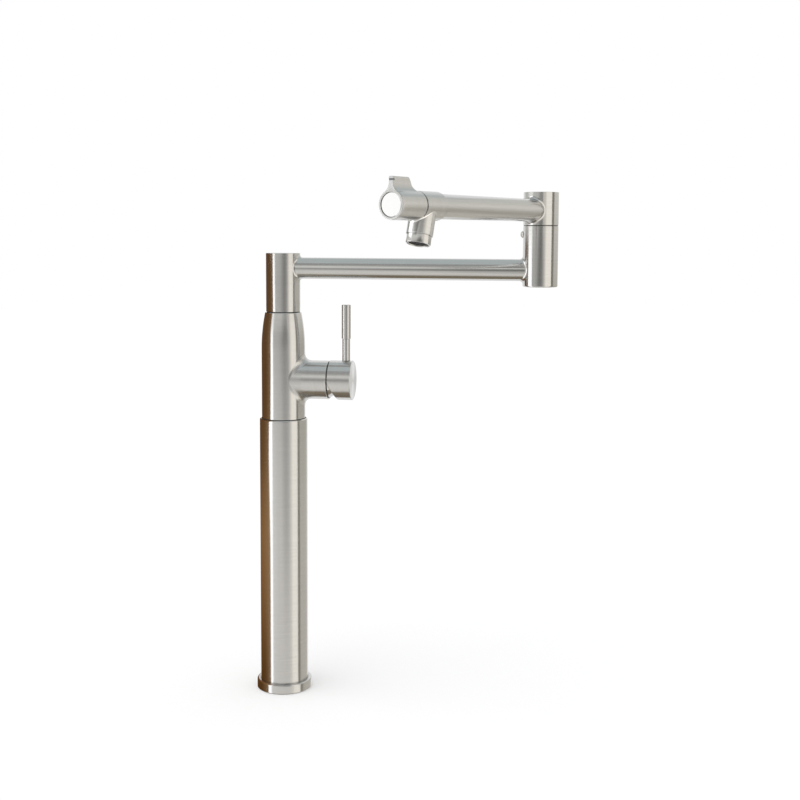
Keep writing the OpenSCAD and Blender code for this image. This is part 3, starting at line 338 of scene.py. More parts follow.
# Drawn copper: bright orange-pink with draw lines along the pipe and a slight tarnish.
drawn_copper, tree = blank_material("drawn_copper")
place = add(tree, "ShaderNodeTexCoord").outputs["Object"]
drawn_out = add(tree, "ShaderNodeMapping", {"Vector": place, "Scale": (0.0008, 0.0008, 0.04)},
                vector_type="TEXTURE")
lines = add(tree, "ShaderNodeTexNoise", {"Vector": drawn_out.outputs[0], "Scale": 1, "Detail": 3})
shader = add(tree, "ShaderNodeBsdfPrincipled", {
    "Base Color": add(tree, "ShaderNodeMix", {0: lines.outputs[0], 6: linear("B9714F"), 7: linear("D89272")},
                      data_type="RGBA").outputs[2],
    "Metallic": 1.0,
    "Roughness": 0.28,
})
add(tree, "ShaderNodeOutputMaterial", {"Surface": shader.outputs[0]})
dress(drawn_copper, "hot_feed_pipe", "cold_feed_pipe")

# ---------------------------------------------------------------- Mixer body and its branch
# One stainless casting, turned outside: a barrel with a long taper, and a short branch for the cartridge.
# The corner between them is ground to a round, which the solid leaves sharp.

BODY_R, BRANCH_R, BRANCH_Z, BRANCH_ROUND, BRANCH_START = 22.75, 20.3, 331.0, 7.0, 23.2
# Satin stainless, ground round the barrel, and round the branch from where it leaves the barrel.
body_steel = satin_steel("satin_stainless_body", (0, 0, 0), (0, 0, 1),
                         outer=((BRANCH_START * MM, 0, 0), (1, 0, 0), (0, 0, BRANCH_Z * MM), (1, 0, 0)))
dress(body_steel, "mixer_body")


def ground_corner(name, barrel_r, pipe_r, ball_r, place, lean=0.0, sides=144, steps=9):
    """The round in the corner where a pipe along +X, leaning towards Z, leaves a barrel round Z: the path of
    a ball that rolls round the corner and touches both. Its third edge lies inside the metal."""
    way = Vector((math.cos(lean), 0, math.sin(lean)))
    rise = Vector((-math.sin(lean), 0, math.cos(lean)))
    sunk, edge_sunk = 0.8, 0.02

    def meeting(a, grow):
        """Offset from the pipe's axis, and the point at that offset that also lies on the grown barrel."""
        out = (rise * math.cos(a) + Vector((0, 1, 0)) * math.sin(a)) * (pipe_r + grow)
        half_b, rest = out.x * way.x, out.x ** 2 + out.y ** 2 - (barrel_r + grow) ** 2
        return out, out + way * ((math.sqrt(half_b ** 2 - way.x ** 2 * rest) - half_b) / way.x ** 2)

    bm = bmesh.new()
    rings = []
    for i in range(sides):
        out, ball = meeting(2 * math.pi * i / sides, ball_r)
        to_barrel, to_pipe = -Vector((ball.x, ball.y, 0)).normalized(), -out.normalized()
        ring = [ball + to_barrel.slerp(to_pipe, j / steps) * (ball_r + (edge_sunk if j in (0, steps) else 0))
                for j in range(steps + 1)]
        ring.append(meeting(2 * math.pi * i / sides, -sunk)[1])
        rings.append([bm.verts.new(place @ (p * MM)) for p in ring])
    join_rings(bm, rings)
    bmesh.ops.recalc_face_normals(bm, faces=bm.faces)
    return finished(name, bm, sharp=40)


# The body stands on the column's rounded edge, on a black rubber ring that shows as a thin dark line: painted
# shade, standing in for the shadow in the seam.
COLUMN_TOP = 290.0
seat_seal = lathe("body_seat_seal", [(r, COLUMN_TOP + up) for r, up in (
    (22.0, -0.05), (23.35, -0.05), (23.3, 0.35), (22.9, 0.55), (22.0, 0.55))])
fit(seat_seal, "column", epdm_rubber)
branch_corner = ground_corner("branch_corner", BODY_R, BRANCH_R, BRANCH_ROUND,
                              Matrix.Translation((0, 0, BRANCH_Z * MM)))
# Ground by hand across both cylinders, so the corner's shine is softer and runs in no one direction.
branch_steel = satin_steel("satin_stainless_branch", (0, 0, BRANCH_Z * MM), (1, 0, 0), roughness=0.28,
                           stretch=0.15)
fit(branch_corner, "column", branch_steel)

# ---------------------------------------------------------------- Mixing cartridge
# A 35 mm joystick cartridge: acetal base and case, two alumina discs lapped flat, black glass-filled
# nylon driver and carrier. The dome of the next section hides it until the tap is taken apart.

# Acetal: milky white, soft sheen straight from the mould.
acetal, tree = blank_material("acetal_moulded")
place = add(tree, "ShaderNodeTexCoord").outputs["Object"]
skin = add(tree, "ShaderNodeTexNoise", {"Vector": place, "Scale": 900, "Detail": 2})
shader = add(tree, "ShaderNodeBsdfPrincipled", {
    "Base Color": linear("E6E4DC"),
    "Roughness": 0.38,
    "Subsurface Weight": 0.08,
    "Subsurface Scale": 0.002,
    "Normal": add(tree, "ShaderNodeBump", {
        "Strength": 0.15, "Distance": 0.00003, "Height": skin.outputs[0]}).outputs[0],
})
add(tree, "ShaderNodeOutputMaterial", {"Surface": shader.outputs[0]})
dress(acetal, "cartridge_base", "cartridge_case", "pivot_lower_bush", "pivot_upper_bush",
      "elbow_lower_bush", "elbow_upper_bush")

# Glass-filled nylon: dark grey, matt, with the short fibres just showing as fine flecks.
nylon, tree = blank_material("glass_filled_nylon")
place = add(tree, "ShaderNodeTexCoord").outputs["Object"]
fleck = add(tree, "ShaderNodeTexNoise", {"Vector": place, "Scale": 1600, "Detail": 3, "Roughness": 0.7})
shader = add(tree, "ShaderNodeBsdfPrincipled", {
    "Base Color": add(tree, "ShaderNodeMix", {0: fleck.outputs[0], 6: linear("1C1C1E"), 7: linear("333336")},
                      data_type="RGBA").outputs[2],
    "Roughness": 0.5,
})
add(tree, "ShaderNodeOutputMaterial", {"Surface": shader.outputs[0]})
dress(nylon, "disc_driver", "cartridge_carrier", "aerator_insert")

# Lapped alumina: white ceramic with a wet-looking gloss on its flat faces.
alumina, tree = blank_material("lapped_alumina")
place = add(tree, "ShaderNodeTexCoord").outputs["Object"]
speck = add(tree, "ShaderNodeTexNoise", {"Vector": place, "Scale": 700, "Detail": 2})
shader = add(tree, "ShaderNodeBsdfPrincipled", {
    "Base Color": add(tree, "ShaderNodeMix", {0: speck.outputs[0], 6: linear("EFEDE4"), 7: linear("F8F6EE")},
                      data_type="RGBA").outputs[2],
    "Roughness": 0.16,
    "IOR": 1.76,
})
add(tree, "ShaderNodeOutputMaterial", {"Surface": shader.outputs[0]})
dress(alumina, "fixed_disc", "moving_disc", "valve_fixed_disc", "valve_moving_disc")

# ---------------------------------------------------------------- Dome, hub and lever rod
# The dome closes the branch round the tilt pivot. The hub is a turned cup that tilts over it, cut away
# below, and the rod is turned in two diameters and screwed into its top.

BRANCH_END, LEVER_X = 49.0, 66.8
# Satin stainless, ground round the branch's axis: fine rings on the hub's end, long soft bands on its wall.
dome_steel = satin_steel("satin_stainless_hub", (0, 0, BRANCH_Z * MM), (1, 0, 0))
dress(dome_steel, "cartridge_cover", "lever_hub")
# A thin black rubber ring lies against the branch's end, in the gap under the hub: painted shade that darkens
# the gap as a thin dark line.
hub_shade_ring = lathe("hub_gap_seal", [(r, BRANCH_END + out) for r, out in (
    (17.9, 0.02), (18.8, 0.02), (18.9, 0.5), (18.8, 0.9), (17.9, 0.9))])
hub_shade_ring.data.transform(Matrix.Translation((0, 0, BRANCH_Z * MM)) @ Matrix.Rotation(math.pi / 2, 4, "Y"))
fit(hub_shade_ring, "column", epdm_rubber)
# The rod is ground round its own axis, so one thin bright line runs up it.
rod_steel = satin_steel("satin_stainless_rod", (LEVER_X * MM, 0, 0), (0, 0, 1))
dress(rod_steel, "lever_rod")

# ---------------------------------------------------------------- Column pivot and sleeve
# A brass spigot stands in the body's threaded top. The stainless sleeve turns on it, closed by a brazed
# disc, and a domed socket screw at the back runs in the spigot's groove.

dress(column_steel, "pivot_sleeve", "pivot_cap")


def flat_ring(inner, outer, low, high):
    """The outline of a ring between two radii and two heights, for lathe."""
    return [(inner, low), (outer, low), (outer, high), (inner, high)]


# A black rubber ring fills the seam under the sleeve, a little way in, and shows as a thin dark line: painted
# shade for the shadow in the seam.
BODY_TOP, SHADE_RING_BORE_R = 401.1, 14.25
pivot_seal = lathe("pivot_seam_seal", flat_ring(SHADE_RING_BORE_R, 17.35, BODY_TOP + 0.02, BODY_TOP + 0.48))
fit(pivot_seal, "column", epdm_rubber)

# ---------------------------------------------------------------- Lower arm
# A 22 mm stainless tube, coped and welded to the sleeve and to the elbow.
# The welds are ground to a round, which the solids leave sharp.

ARM_R, ARM_Z, SLEEVE_R, ELBOW_R, ELBOW_X, WELD_ROUND = 11.1, 447.1, 17.8, 17.65, 265.7, 3.2
# Polished lengthwise, so the tube is brighter than the turned parts and mirrors the room in long bands.
TUBE_FINISH = {"lengthwise": True, "roughness": 0.16, "stretch": 0.8}
arm_steel = satin_steel("satin_stainless_lower_arm", (0, 0, ARM_Z * MM), (1, 0, 0), **TUBE_FINISH)
dress(arm_steel, "lower_arm_tube")
sleeve_side = Matrix.Translation((0, 0, ARM_Z * MM))
sleeve_weld = ground_corner("sleeve_weld", SLEEVE_R, ARM_R, WELD_ROUND, sleeve_side, sides=96, steps=6)
elbow_side = Matrix.Translation((ELBOW_X * MM, 0, ARM_Z * MM)) @ Matrix.Rotation(math.pi, 4, "Z")
elbow_weld = ground_corner("elbow_weld", ELBOW_R, ARM_R, WELD_ROUND, elbow_side, sides=96, steps=6)
# Ground and mopped by hand, so the welds shine more than the tubes beside them.
weld_steel = satin_steel("mopped_weld_steel", (0, 0, ARM_Z * MM), (1, 0, 0), roughness=0.15, stretch=0.0)
for weld in (sleeve_weld, elbow_weld):
    fit(weld, "lower_arm", weld_steel)

# ---------------------------------------------------------------- Elbow
# The lower cup is welded to the lower arm and holds the bushes; the upper drum is threaded on the
# spindle and carries the upper arm. A domed socket screw on the column's side holds them together.

# Ground round the elbow's axis and finished finer than the column, so its bands have firmer edges.
elbow_steel = satin_steel("satin_stainless_elbow", (ELBOW_X * MM, 0, 0), (0, 0, 1), roughness=0.17,
                          stretch=0.75)
dress(elbow_steel, "elbow_housing", "elbow_head", "elbow_cap")
ELBOW_SEAM = 491.5
# A black rubber ring in the elbow's seam shows as a thin dark line: painted shade for the shadow in the seam.
elbow_seal = lathe("elbow_seam_seal", flat_ring(SHADE_RING_BORE_R, 17.2, ELBOW_SEAM + 0.02, ELBOW_SEAM + 0.53))
elbow_seal.data.transform(Matrix.Translation((ELBOW_X * MM, 0, 0)))
fit(elbow_seal, "lower_arm", epdm_rubber)

# ---------------------------------------------------------------- Upper arm
# The same tube, folded back over the lower arm.
# It is welded to the elbow's drum and soldered in the valve body.

UPPER_Z, UPPER_TURN = 506.7, math.radians(180 + 63.2)
# Places on the upper arm and beyond are measured from the elbow's axis along the arm, as (along, side, up).
upper_place = Matrix.Translation((ELBOW_X * MM, 0, UPPER_Z * MM)) @ Matrix.Rotation(UPPER_TURN, 4, "Z")
upper_way = upper_place.to_3x3() @ Vector((1, 0, 0))
upper_steel = satin_steel("satin_stainless_upper_arm", upper_place.translation, upper_way, **TUBE_FINISH)
dress(upper_steel, "upper_arm_tube")
upper_weld = ground_corner("upper_arm_weld", ELBOW_R, ARM_R, WELD_ROUND, upper_place, sides=96, steps=6)
fit(upper_weld, "upper_arm", weld_steel)

# ---------------------------------------------------------------- Valve body and outlet
# A turned stainless body with a short outlet that leans forward.
# The two cylinders meet in a corner with a small polished round.

OUTLET_T, OUTLET_TILT, OUTLET_START = 209.0, math.radians(15), 13.1
outlet_centre = upper_place @ Vector((OUTLET_T * MM, 0, 0))
outlet_way = upper_place.to_3x3() @ Vector((math.sin(OUTLET_TILT), 0, -math.cos(OUTLET_TILT)))
# Satin stainless, ground round the arm's axis, and round the outlet's from where it leaves the barrel.
valve_steel = satin_steel(
    "satin_stainless_valve_body", upper_place.translation, upper_way,
    outer=(outlet_centre + outlet_way * OUTLET_START * MM, outlet_way, outlet_centre, outlet_way))
dress(valve_steel, "valve_body")
VALVE_R, OUTLET_R, OUTLET_ROUND = 12.75, 11.75, 1.5
outlet_root = upper_place @ Matrix.Translation((OUTLET_T * MM, 0, 0))
# ground_corner's barrel is turned to lie along the arm, and its pipe to point down.
outlet_corner = ground_corner(
    "outlet_corner", VALVE_R, OUTLET_R, OUTLET_ROUND,
    outlet_root @ Matrix(((0, 0, 1), (0, 1, 0), (-1, 0, 0))).to_4x4(), lean=OUTLET_TILT, sides=96, steps=5)
# Polished stainless: mirror-bright, faintly cool, with the last haze of the buffing wheel.
polished_steel, tree = blank_material("polished_stainless")
place = add(tree, "ShaderNodeTexCoord").outputs["Object"]
haze = add(tree, "ShaderNodeTexNoise", {"Vector": place, "Scale": 500, "Detail": 3})
shader = add(tree, "ShaderNodeBsdfPrincipled", {
    "Base Color": linear("F3F3F2"),
    "Metallic": 1.0,
    "Roughness": add(tree, "ShaderNodeMapRange", {
        "Value": haze.outputs[0], "To Min": 0.07, "To Max": 0.13}).outputs[0],
})
add(tree, "ShaderNodeOutputMaterial", {"Surface": shader.outputs[0]})
fit(outlet_corner, "upper_arm", polished_steel)

# ---------------------------------------------------------------- Aerator
# A thin stainless ring screwed into the outlet holds a black nylon insert whose bundle of short tubes
# straightens the stream.

outlet_place = outlet_root @ Matrix.Rotation(math.pi - OUTLET_TILT, 4, "Y")
# Fine-turned stainless: a bright lip under the outlet, smoother than the satin body above it.
outlet_steel = satin_steel("satin_stainless_aerator", outlet_centre, outlet_way, roughness=0.15, stretch=0.6)
ring = lathe("aerator_ring", [
    (9.2, 21), (10.2, 21), (10.2, 26.7), (10.9, 26.7), (10.9, 33.8), (10.75, 34.12), (10.35, 34.3),
    (9.9, 34.25), (9.6, 33.95), (9.5, 33.4), (9.2, 33.2)])
ring.data.transform(outlet_place)
fit(ring, "upper_arm", outlet_steel)
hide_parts("aerator_housing")

# Short tubes stand on a square grid, apart from the places outside the insert's circle.
tubes, given = geometry_tree("flow_tubes", "Field radius", "Pitch", "Tube radius", "Tube wall", "Tube length")
TUBE_ROWS = 11
span = add(tubes, "ShaderNodeMath", {0: given["Pitch"], 1: TUBE_ROWS - 1.0}, operation="MULTIPLY").outputs[0]
field = add(tubes, "GeometryNodeMeshGrid", {
    "Size X": span, "Size Y": span, "Vertices X": TUBE_ROWS, "Vertices Y": TUBE_ROWS})
spot = add(tubes, "GeometryNodeInputPosition")
away = add(tubes, "ShaderNodeVectorMath", {0: spot.outputs[0]}, operation="LENGTH")
outside = add(tubes, "FunctionNodeCompare", {0: away.outputs["Value"], 1: given["Field radius"]},
              data_type="FLOAT", operation="GREATER_THAN")
kept = add(tubes, "GeometryNodeDeleteGeometry", {
    "Geometry": field.outputs[0], "Selection": outside.outputs[0]}, domain="POINT")
path = add(tubes, "GeometryNodeCurvePrimitiveCircle", {"Resolution": 12, "Radius": given["Tube radius"]})
wall = add(tubes, "GeometryNodeCurvePrimitiveQuadrilateral", {
    "Width": given["Tube wall"], "Height": given["Tube length"]})
tube = add(tubes, "GeometryNodeCurveToMesh", {"Curve": path.outputs[0], "Profile Curve": wall.outputs[0]})
placed = add(tubes, "GeometryNodeInstanceOnPoints", {"Points": kept.outputs[0], "Instance": tube.outputs[0]})
real = add(tubes, "GeometryNodeRealizeInstances", {0: placed.outputs[0]})
finish = add(tubes, "GeometryNodeSetMaterial", {"Geometry": real.outputs[0], "Material": given["Finish"]})
add(tubes, "NodeGroupOutput", {0: finish.outputs[0]})
straightener = grown("flow_tubes", tubes, field_radius=7.9 * MM, pitch=1.75 * MM, tube_radius=0.78 * MM,
                     tube_wall=0.2 * MM, tube_length=1.6 * MM, finish=nylon)
straightener.data.transform(outlet_place @ Matrix.Translation((0, 0, 32.0 * MM)))
fit(straightener, "upper_arm", nylon)
plate = lathe("aerator_plate", [
    (0, 21.2), (9.15, 21.2), (9.15, 33.1), (8.6, 33.1), (8.4, 31.4), (0, 31.4)], steps=64)
plate.data.transform(outlet_place)
fit(plate, "upper_arm", nylon)
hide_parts("aerator_insert")

# ---------------------------------------------------------------- Handle at the spout's tip
# A turned stainless shell with a thumb lug that flows out of it, broken edges all round, a splined boss
# inside and a polished cap in its front. It turns a quarter turn round the arm's axis.

HANDLE_R, HANDLE_BACK, HANDLE_FRONT, RECESS_R = 12.8, 221.9, 258.0, 10.6
LUG_TOP, LUG_HALF, LUG_BLEND, LUG_BACK, LUG_CORNER = 24.0, 2.5, 10.0, 235.0, 0.9
TAIL_R, TAIL_Z, TAIL_GAP, TAIL_LEAN = 8.5, 20.7, 2.6, math.radians(9)
LUG_SLOPE, LUG_ARC = 1.42, math.radians(60)
EDGE_REACH, EDGE_DROP, BACK_ROUND, FRONT_ROUND, LINE_UP, LINE_WIDTH = 1.2, 0.3, 0.4, 0.6, 21.0, 1.7
tail_t = LUG_BACK - TAIL_GAP - TAIL_R
# The recess for the cap, the screw's hole, the spindle's socket and the hollow behind, as (along, radius).
CAP_SEAT, SOCKET_END, WEB_BACK, SCREW_R, SOCKET_R, HOLLOW_R = 243, 242.2, 233, 2.2, 4.05, 10.8
HANDLE_INSIDE = (
    (HANDLE_FRONT, RECESS_R + 0.25), (HANDLE_FRONT - 0.25, RECESS_R), (CAP_SEAT, RECESS_R),
    (CAP_SEAT, SCREW_R), (SOCKET_END, SCREW_R), (SOCKET_END, SOCKET_R), (WEB_BACK, SOCKET_R),
    (WEB_BACK, HOLLOW_R), (HANDLE_BACK + 0.3, HOLLOW_R), (HANDLE_BACK, HOLLOW_R + 0.3))


def lug_height(t):
    """How high the lug stands at a place along the arm, from its hollow tail to its flat top."""
    if t < tail_t:
        return 0
    reach = TAIL_R * math.cos(TAIL_LEAN)
    if t < tail_t + reach:
        return TAIL_Z - math.sqrt(TAIL_R ** 2 - (t - tail_t) ** 2)
    low = TAIL_Z - TAIL_R * math.sin(TAIL_LEAN)
    return min(LUG_TOP, low + (t - tail_t - reach) * LUG_SLOPE)


def half_section():
    """Half of the section through the lug and barrel, from the top to the bottom, as (side, up) in mm."""
    flat, shoulder = LUG_HALF - LUG_CORNER, LUG_TOP - LUG_CORNER
    points = [(k * flat / 3, LUG_TOP) for k in range(4)]
    for k in range(1, 7):
        a = math.radians(90 - 15 * k)
        points.append((flat + LUG_CORNER * math.cos(a), shoulder + LUG_CORNER * math.sin(a)))
    side = LUG_HALF + LUG_BLEND
    up = math.sqrt((HANDLE_R + LUG_BLEND) ** 2 - side ** 2)
    points += [(LUG_HALF, up + (shoulder - up) * k / 4) for k in (3, 2, 1)]
    turn = math.atan2(up, side)
    for k in range(19):
        a = math.pi + turn * k / 18
        points.append((side + LUG_BLEND * math.cos(a), up + LUG_BLEND * math.sin(a)))
    start = math.atan2(side, up)
    for k in range(1, 41):
        a = start + (math.pi - start) * k / 40
        points.append((HANDLE_R * math.sin(a), HANDLE_R * math.cos(a)))
    return points


half = half_section()
section = half + [(-s, u) for s, u in reversed(half[1:-1])]


def handle_ring(t, inset=0):
    """The section at a place along the arm, cut off at the lug's height with a soft edge, and moved in from
    its own outline for a rounded rim."""
    ring = []
    for s, u in section:
        r, a = math.hypot(s, u), math.atan2(s, u)
        if abs(a) < LUG_ARC:
            limit = max(lug_height(t), 0.1) / math.cos(a)
            soft = max(EDGE_REACH - abs(r - limit), 0) / EDGE_REACH
            r = max(min(r, limit) - soft * soft * EDGE_DROP, HANDLE_R)
        ring.append(Vector((r * math.sin(a), r * math.cos(a))))
    if inset:
        n = len(ring)
        moved = []
        for i in range(n):
            way = ring[(i + 1) % n] - ring[i - 1]
            moved.append(ring[i] - Vector((-way.y, way.x)).normalized() * inset)
        ring = moved
    return ring


def handle_mesh(name):
    """The shell, skinned over rings from its back to its front, in through the recess and back again."""
    bm = bmesh.new()
    rows = []
    for k in range(4):
        a = math.radians(90 * k / 3)
        rows.append((HANDLE_BACK + BACK_ROUND * (1 - math.cos(a)),
                     handle_ring(HANDLE_BACK + BACK_ROUND, BACK_ROUND * (1 - math.sin(a)))))
    t, plain_step, lug_step = HANDLE_BACK + 1.2, 1.0, 0.45
    while t < LUG_BACK + 2.4:
        rows.append((t, handle_ring(t)))
        t += lug_step if t > tail_t - 1 else plain_step
    for t in (240, 244, 249, 254):
        rows.append((t, handle_ring(t)))
    for k in range(6):
        a = math.radians(90 * k / 5)
        rows.append((HANDLE_FRONT - FRONT_ROUND + FRONT_ROUND * math.sin(a),
                     handle_ring(HANDLE_FRONT, FRONT_ROUND * (1 - math.cos(a)))))

    def circle(r):
        return [Vector((p.x, p.y)).normalized() * r for p in handle_ring(HANDLE_FRONT)]

    rim = rows[-1][1]
    for share in (0.25, 0.5, 0.75):
        rows.append((HANDLE_FRONT, [p.lerp(q, share) for p, q in zip(rim, circle(HANDLE_INSIDE[0][1]))]))
    rows += [(t, circle(r)) for t, r in HANDLE_INSIDE]
    rings = [[bm.verts.new(upper_place @ Vector((t * MM, p.x * MM, p.y * MM))) for p in ring]
             for t, ring in rows]
    join_rings(bm, rings)
    bmesh.ops.remove_doubles(bm, verts=bm.verts, dist=1e-6)
    bmesh.ops.dissolve_degenerate(bm, edges=bm.edges, dist=1e-6)
    bmesh.ops.recalc_face_normals(bm, faces=bm.faces)
    return finished(name, bm)


def lug_block(name, t, *size):
    """A block at the height of the lug's line, with its middle at a place along the arm; its size in mm."""
    bm = bmesh.new()
    bmesh.ops.create_cube(bm, size=1, matrix=upper_place @ Matrix.Translation((t * MM, 0, LINE_UP * MM))
                          @ Matrix.Diagonal((*(side * MM for side in size), 1)))
    return finished(name, bm)


handle = handle_mesh("handle_with_lug")
# A milled line across the lug's front, filled with grey enamel, marks which way up is shut.
cutter = lug_block("lug_line_cutter", HANDLE_FRONT, 3.2, 12, LINE_WIDTH)
cut = handle.modifiers.new("lug_line", "BOOLEAN")
cut.operation, cut.solver, cut.object = "DIFFERENCE", "FAST", cutter
mesh = bpy.data.meshes.new_from_object(handle.evaluated_get(bpy.context.evaluated_depsgraph_get()))
handle.modifiers.clear()
handle.data = mesh
mesh.shade_smooth()
mesh.set_sharp_from_angle(angle=math.radians(32))
bpy.data.objects.remove(cutter)
# Satin stainless, ground round the arm's axis like the valve body behind it.
handle_steel = satin_steel("satin_stainless_handle", upper_place.translation, upper_way)
fit(handle, "spout_handle", handle_steel)
# The ring round the cap is turned fine, without the satin grind: an even grey-white all the way round.
rim_steel = satin_steel("fine_turned_rim", upper_place.translation, upper_way, roughness=0.3, stretch=0.0)
handle.data.materials.append(rim_steel)
for face in handle.data.polygons:
    along, side, up = (upper_place.inverted() @ face.center) / MM
    if along > HANDLE_FRONT - FRONT_ROUND and RECESS_R < math.hypot(side, up) < HANDLE_R - 0.1:
        face.material_index = 1
# Grey enamel: a soft mid grey that reads against the bright steel of the lug.
enamel, tree = blank_material("grey_enamel")
shader = add(tree, "ShaderNodeBsdfPrincipled", {"Base Color": linear("7A7D80"), "Roughness": 0.35})
add(tree, "ShaderNodeOutputMaterial", {"Surface": shader.outputs[0]})
lug_line = lug_block("lug_line", HANDLE_FRONT - 1, 1.2, 4.6, LINE_WIDTH - 0.02)
fit(lug_line, "spout_handle", enamel)
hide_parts("handle_shell")
# A black rubber ring in the seam between the valve body and the handle: painted shade that darkens the seam
# as a dark line.
VALVE_END = 220.5
handle_shade_ring = lathe("handle_seam_seal", flat_ring(8.6, 11.7, VALVE_END + 0.02, HANDLE_BACK - 0.02))
handle_shade_ring.data.transform(upper_place @ Matrix.Rotation(math.pi / 2, 4, "Y"))
fit(handle_shade_ring, "upper_arm", epdm_rubber)

dress(polished_steel, "handle_cap")

# ---------------------------------------------------------------- Floor, light and camera
# A plain white floor on the deck plane, under an even white surround and one large soft lamp.
# The steel also mirrors the boards of a small photo studio, which only reflections see.

scene = bpy.context.scene
scene.view_settings.view_transform = "Standard"


def seen_or_mirrored(tree):
    """1 for what the camera, a reflection or a refraction sees, and 0 for what lights the scene."""
    path = add(tree, "ShaderNodeLightPath").outputs
    seen = add(tree, "ShaderNodeMath", {0: path["Is Camera Ray"], 1: path["Is Glossy Ray"]},
               operation="MAXIMUM").outputs[0]
    return add(tree, "ShaderNodeMath", {0: seen, 1: path["Is Transmission Ray"]},
               operation="MAXIMUM").outputs[0]


# White worktop: matt laminate that shows as white in the picture and keeps the tap's shadow.
worktop, tree = blank_material("white_laminate_floor")
glow = add(tree, "ShaderNodeEmission", {"Color": linear("FFFFFF"), "Strength": 0.2})
dark = add(tree, "ShaderNodeEmission", {"Strength": 0.0})
lit = add(tree, "ShaderNodeMixShader", {0: seen_or_mirrored(tree), 1: dark.outputs[0], 2: glow.outputs[0]})
matt = add(tree, "ShaderNodeBsdfDiffuse", {"Color": linear("EBEBEA")})
add(tree, "ShaderNodeOutputMaterial", {
    "Surface": add(tree, "ShaderNodeAddShader", {0: matt.outputs[0], 1: lit.outputs[0]}).outputs[0]})

bm = bmesh.new()
bmesh.ops.create_circle(bm, cap_ends=True, radius=7, segments=96)
floor = finished("floor", bm)
floor.data.materials.append(worktop)

world = bpy.data.worlds.new("white_surround")
scene.world = world
world.use_nodes = True
tree = world.node_tree
tree.nodes.clear()
soft = add(tree, "ShaderNodeBackground", {"Color": linear("F4F5F6"), "Strength": 0.84})
white = add(tree, "ShaderNodeBackground", {"Color": linear("FFFFFF"), "Strength": 1.0})
both = add(tree, "ShaderNodeMixShader", {0: seen_or_mirrored(tree), 1: soft.outputs[0], 2: white.outputs[0]})
add(tree, "ShaderNodeOutputWorld", {"Surface": both.outputs[0]})

lamp = bpy.data.objects.new("soft_lamp", bpy.data.lights.new("soft_lamp", "SUN"))
lamp.data.angle = math.radians(50)
lamp.data.energy = 0.8
lamp.rotation_euler = Vector((0.35, 0.3, -1)).to_track_quat("-Z", "Y").to_euler()
lamp.visible_glossy = False
scene.collection.objects.link(lamp)

# The boards reach below the deck, because the floor doesn't show in reflections.
floor.visible_glossy = False


def glow_board(name, corners, shades, strength=1.0, patches=()):
    """A glowing board between its corners, which only reflections see. shades is one colour, or (height,
    colour) steps; a soft-edged patch is (centre, radii, colour, how strong its middle is)."""
    material, tree = blank_material("studio_" + name)
    place = add(tree, "ShaderNodeTexCoord").outputs["Object"]
    glow = add(tree, "ShaderNodeEmission", {"Strength": strength})
    if isinstance(shades, str):
        colour = linear(shades)
    else:
        low, high = shades[0][0], shades[-1][0]
        height = add(tree, "ShaderNodeSeparateXYZ", {0: place}).outputs["Z"]
        ramp = add(tree, "ShaderNodeValToRGB", {0: add(tree, "ShaderNodeMapRange", {
            "Value": height, "From Min": low, "From Max": high}).outputs[0]})
        while len(ramp.color_ramp.elements) < len(shades):
            ramp.color_ramp.elements.new(0.5)
        for stop, (z, shade) in zip(ramp.color_ramp.elements, shades):
            stop.position, stop.color = (z - low) / (high - low), linear(shade)
        colour = ramp.outputs[0]
    for centre, radii, shade, most in patches:
        spot = add(tree, "ShaderNodeMapping", {"Vector": place, "Location": centre, "Scale": radii},
                   vector_type="TEXTURE").outputs[0]
        away = add(tree, "ShaderNodeVectorMath", {0: spot}, operation="LENGTH").outputs["Value"]
        share = add(tree, "ShaderNodeMapRange", {
            "Value": away, "From Min": 0.0, "From Max": 1.0, "To Min": most, "To Max": 0.0},
            interpolation_type="SMOOTHSTEP").outputs[0]
        colour = add(tree, "ShaderNodeMix", {0: share, 6: colour, 7: linear(shade)},
                     data_type="RGBA").outputs[2]
    if isinstance(colour, bpy.types.NodeSocket):
        tree.links.new(colour, glow.inputs["Color"])
    else:
        glow.inputs["Color"].default_value = colour
    add(tree, "ShaderNodeOutputMaterial", {"Surface": glow.outputs[0]})
    material.cycles.emission_sampling = "NONE"
    bm = bmesh.new()
    bm.faces.new([bm.verts.new(p) for p in corners])
    board = finished("studio_" + name, bm)
    board.data.materials.append(material)
    board.visible_camera = board.visible_diffuse = board.visible_shadow = False
    board.visible_transmission = False


def upright(one, two, foot, top):
    """The corners of an upright board from one place on the plan to another."""
    return (*one, foot), (*two, foot), (*two, top), (*one, top)


# A walnut board close by on the left, which the spout swings through, and lights and shades farther out than
# it reaches: a tall strip light, one high up, and the plain boards between and beside them.
WALNUT_X, LEFT_X, BOARD_FOOT, CEILING_Z = -0.08, -0.58, -0.7, 1.12
LIGHT_FOOT, LIGHT_TOP, LIGHT_BACK = 0.63, 1.02, 0.055
glow_board("walnut", [(WALNUT_X, y, z) for y, z in (
    (0.16, BOARD_FOOT), (-0.071, BOARD_FOOT), (-0.070, 0.14), (-0.057, 0.24), (-0.068, 0.35), (-0.058, 0.42),
    (-0.058, 0.48), (0.16, 0.48))],
           [(BOARD_FOOT, "5E3F20"), (-0.02, "63421F"), (0.09, "855D37"), (0.15, "92683F"), (0.24, "6E4D2D"),
            (0.49, "6F5238")],
           patches=[((WALNUT_X, -0.085, 0.15), (1, 0.17, 0.2), "BE9468", 0.55),
                    ((WALNUT_X, -0.085, 0.2), (1, 0.08, 5), "AC8E6B", 0.75)])
glow_board("strip_light", [(LEFT_X, y, z) for y, z in (
    (0.0, BOARD_FOOT), (-0.62, BOARD_FOOT), (-0.62, 0.42), (-0.52, 0.47), (-0.52, 0.50), (0.0, 0.50))],
           "FFFFFF", strength=1.95)
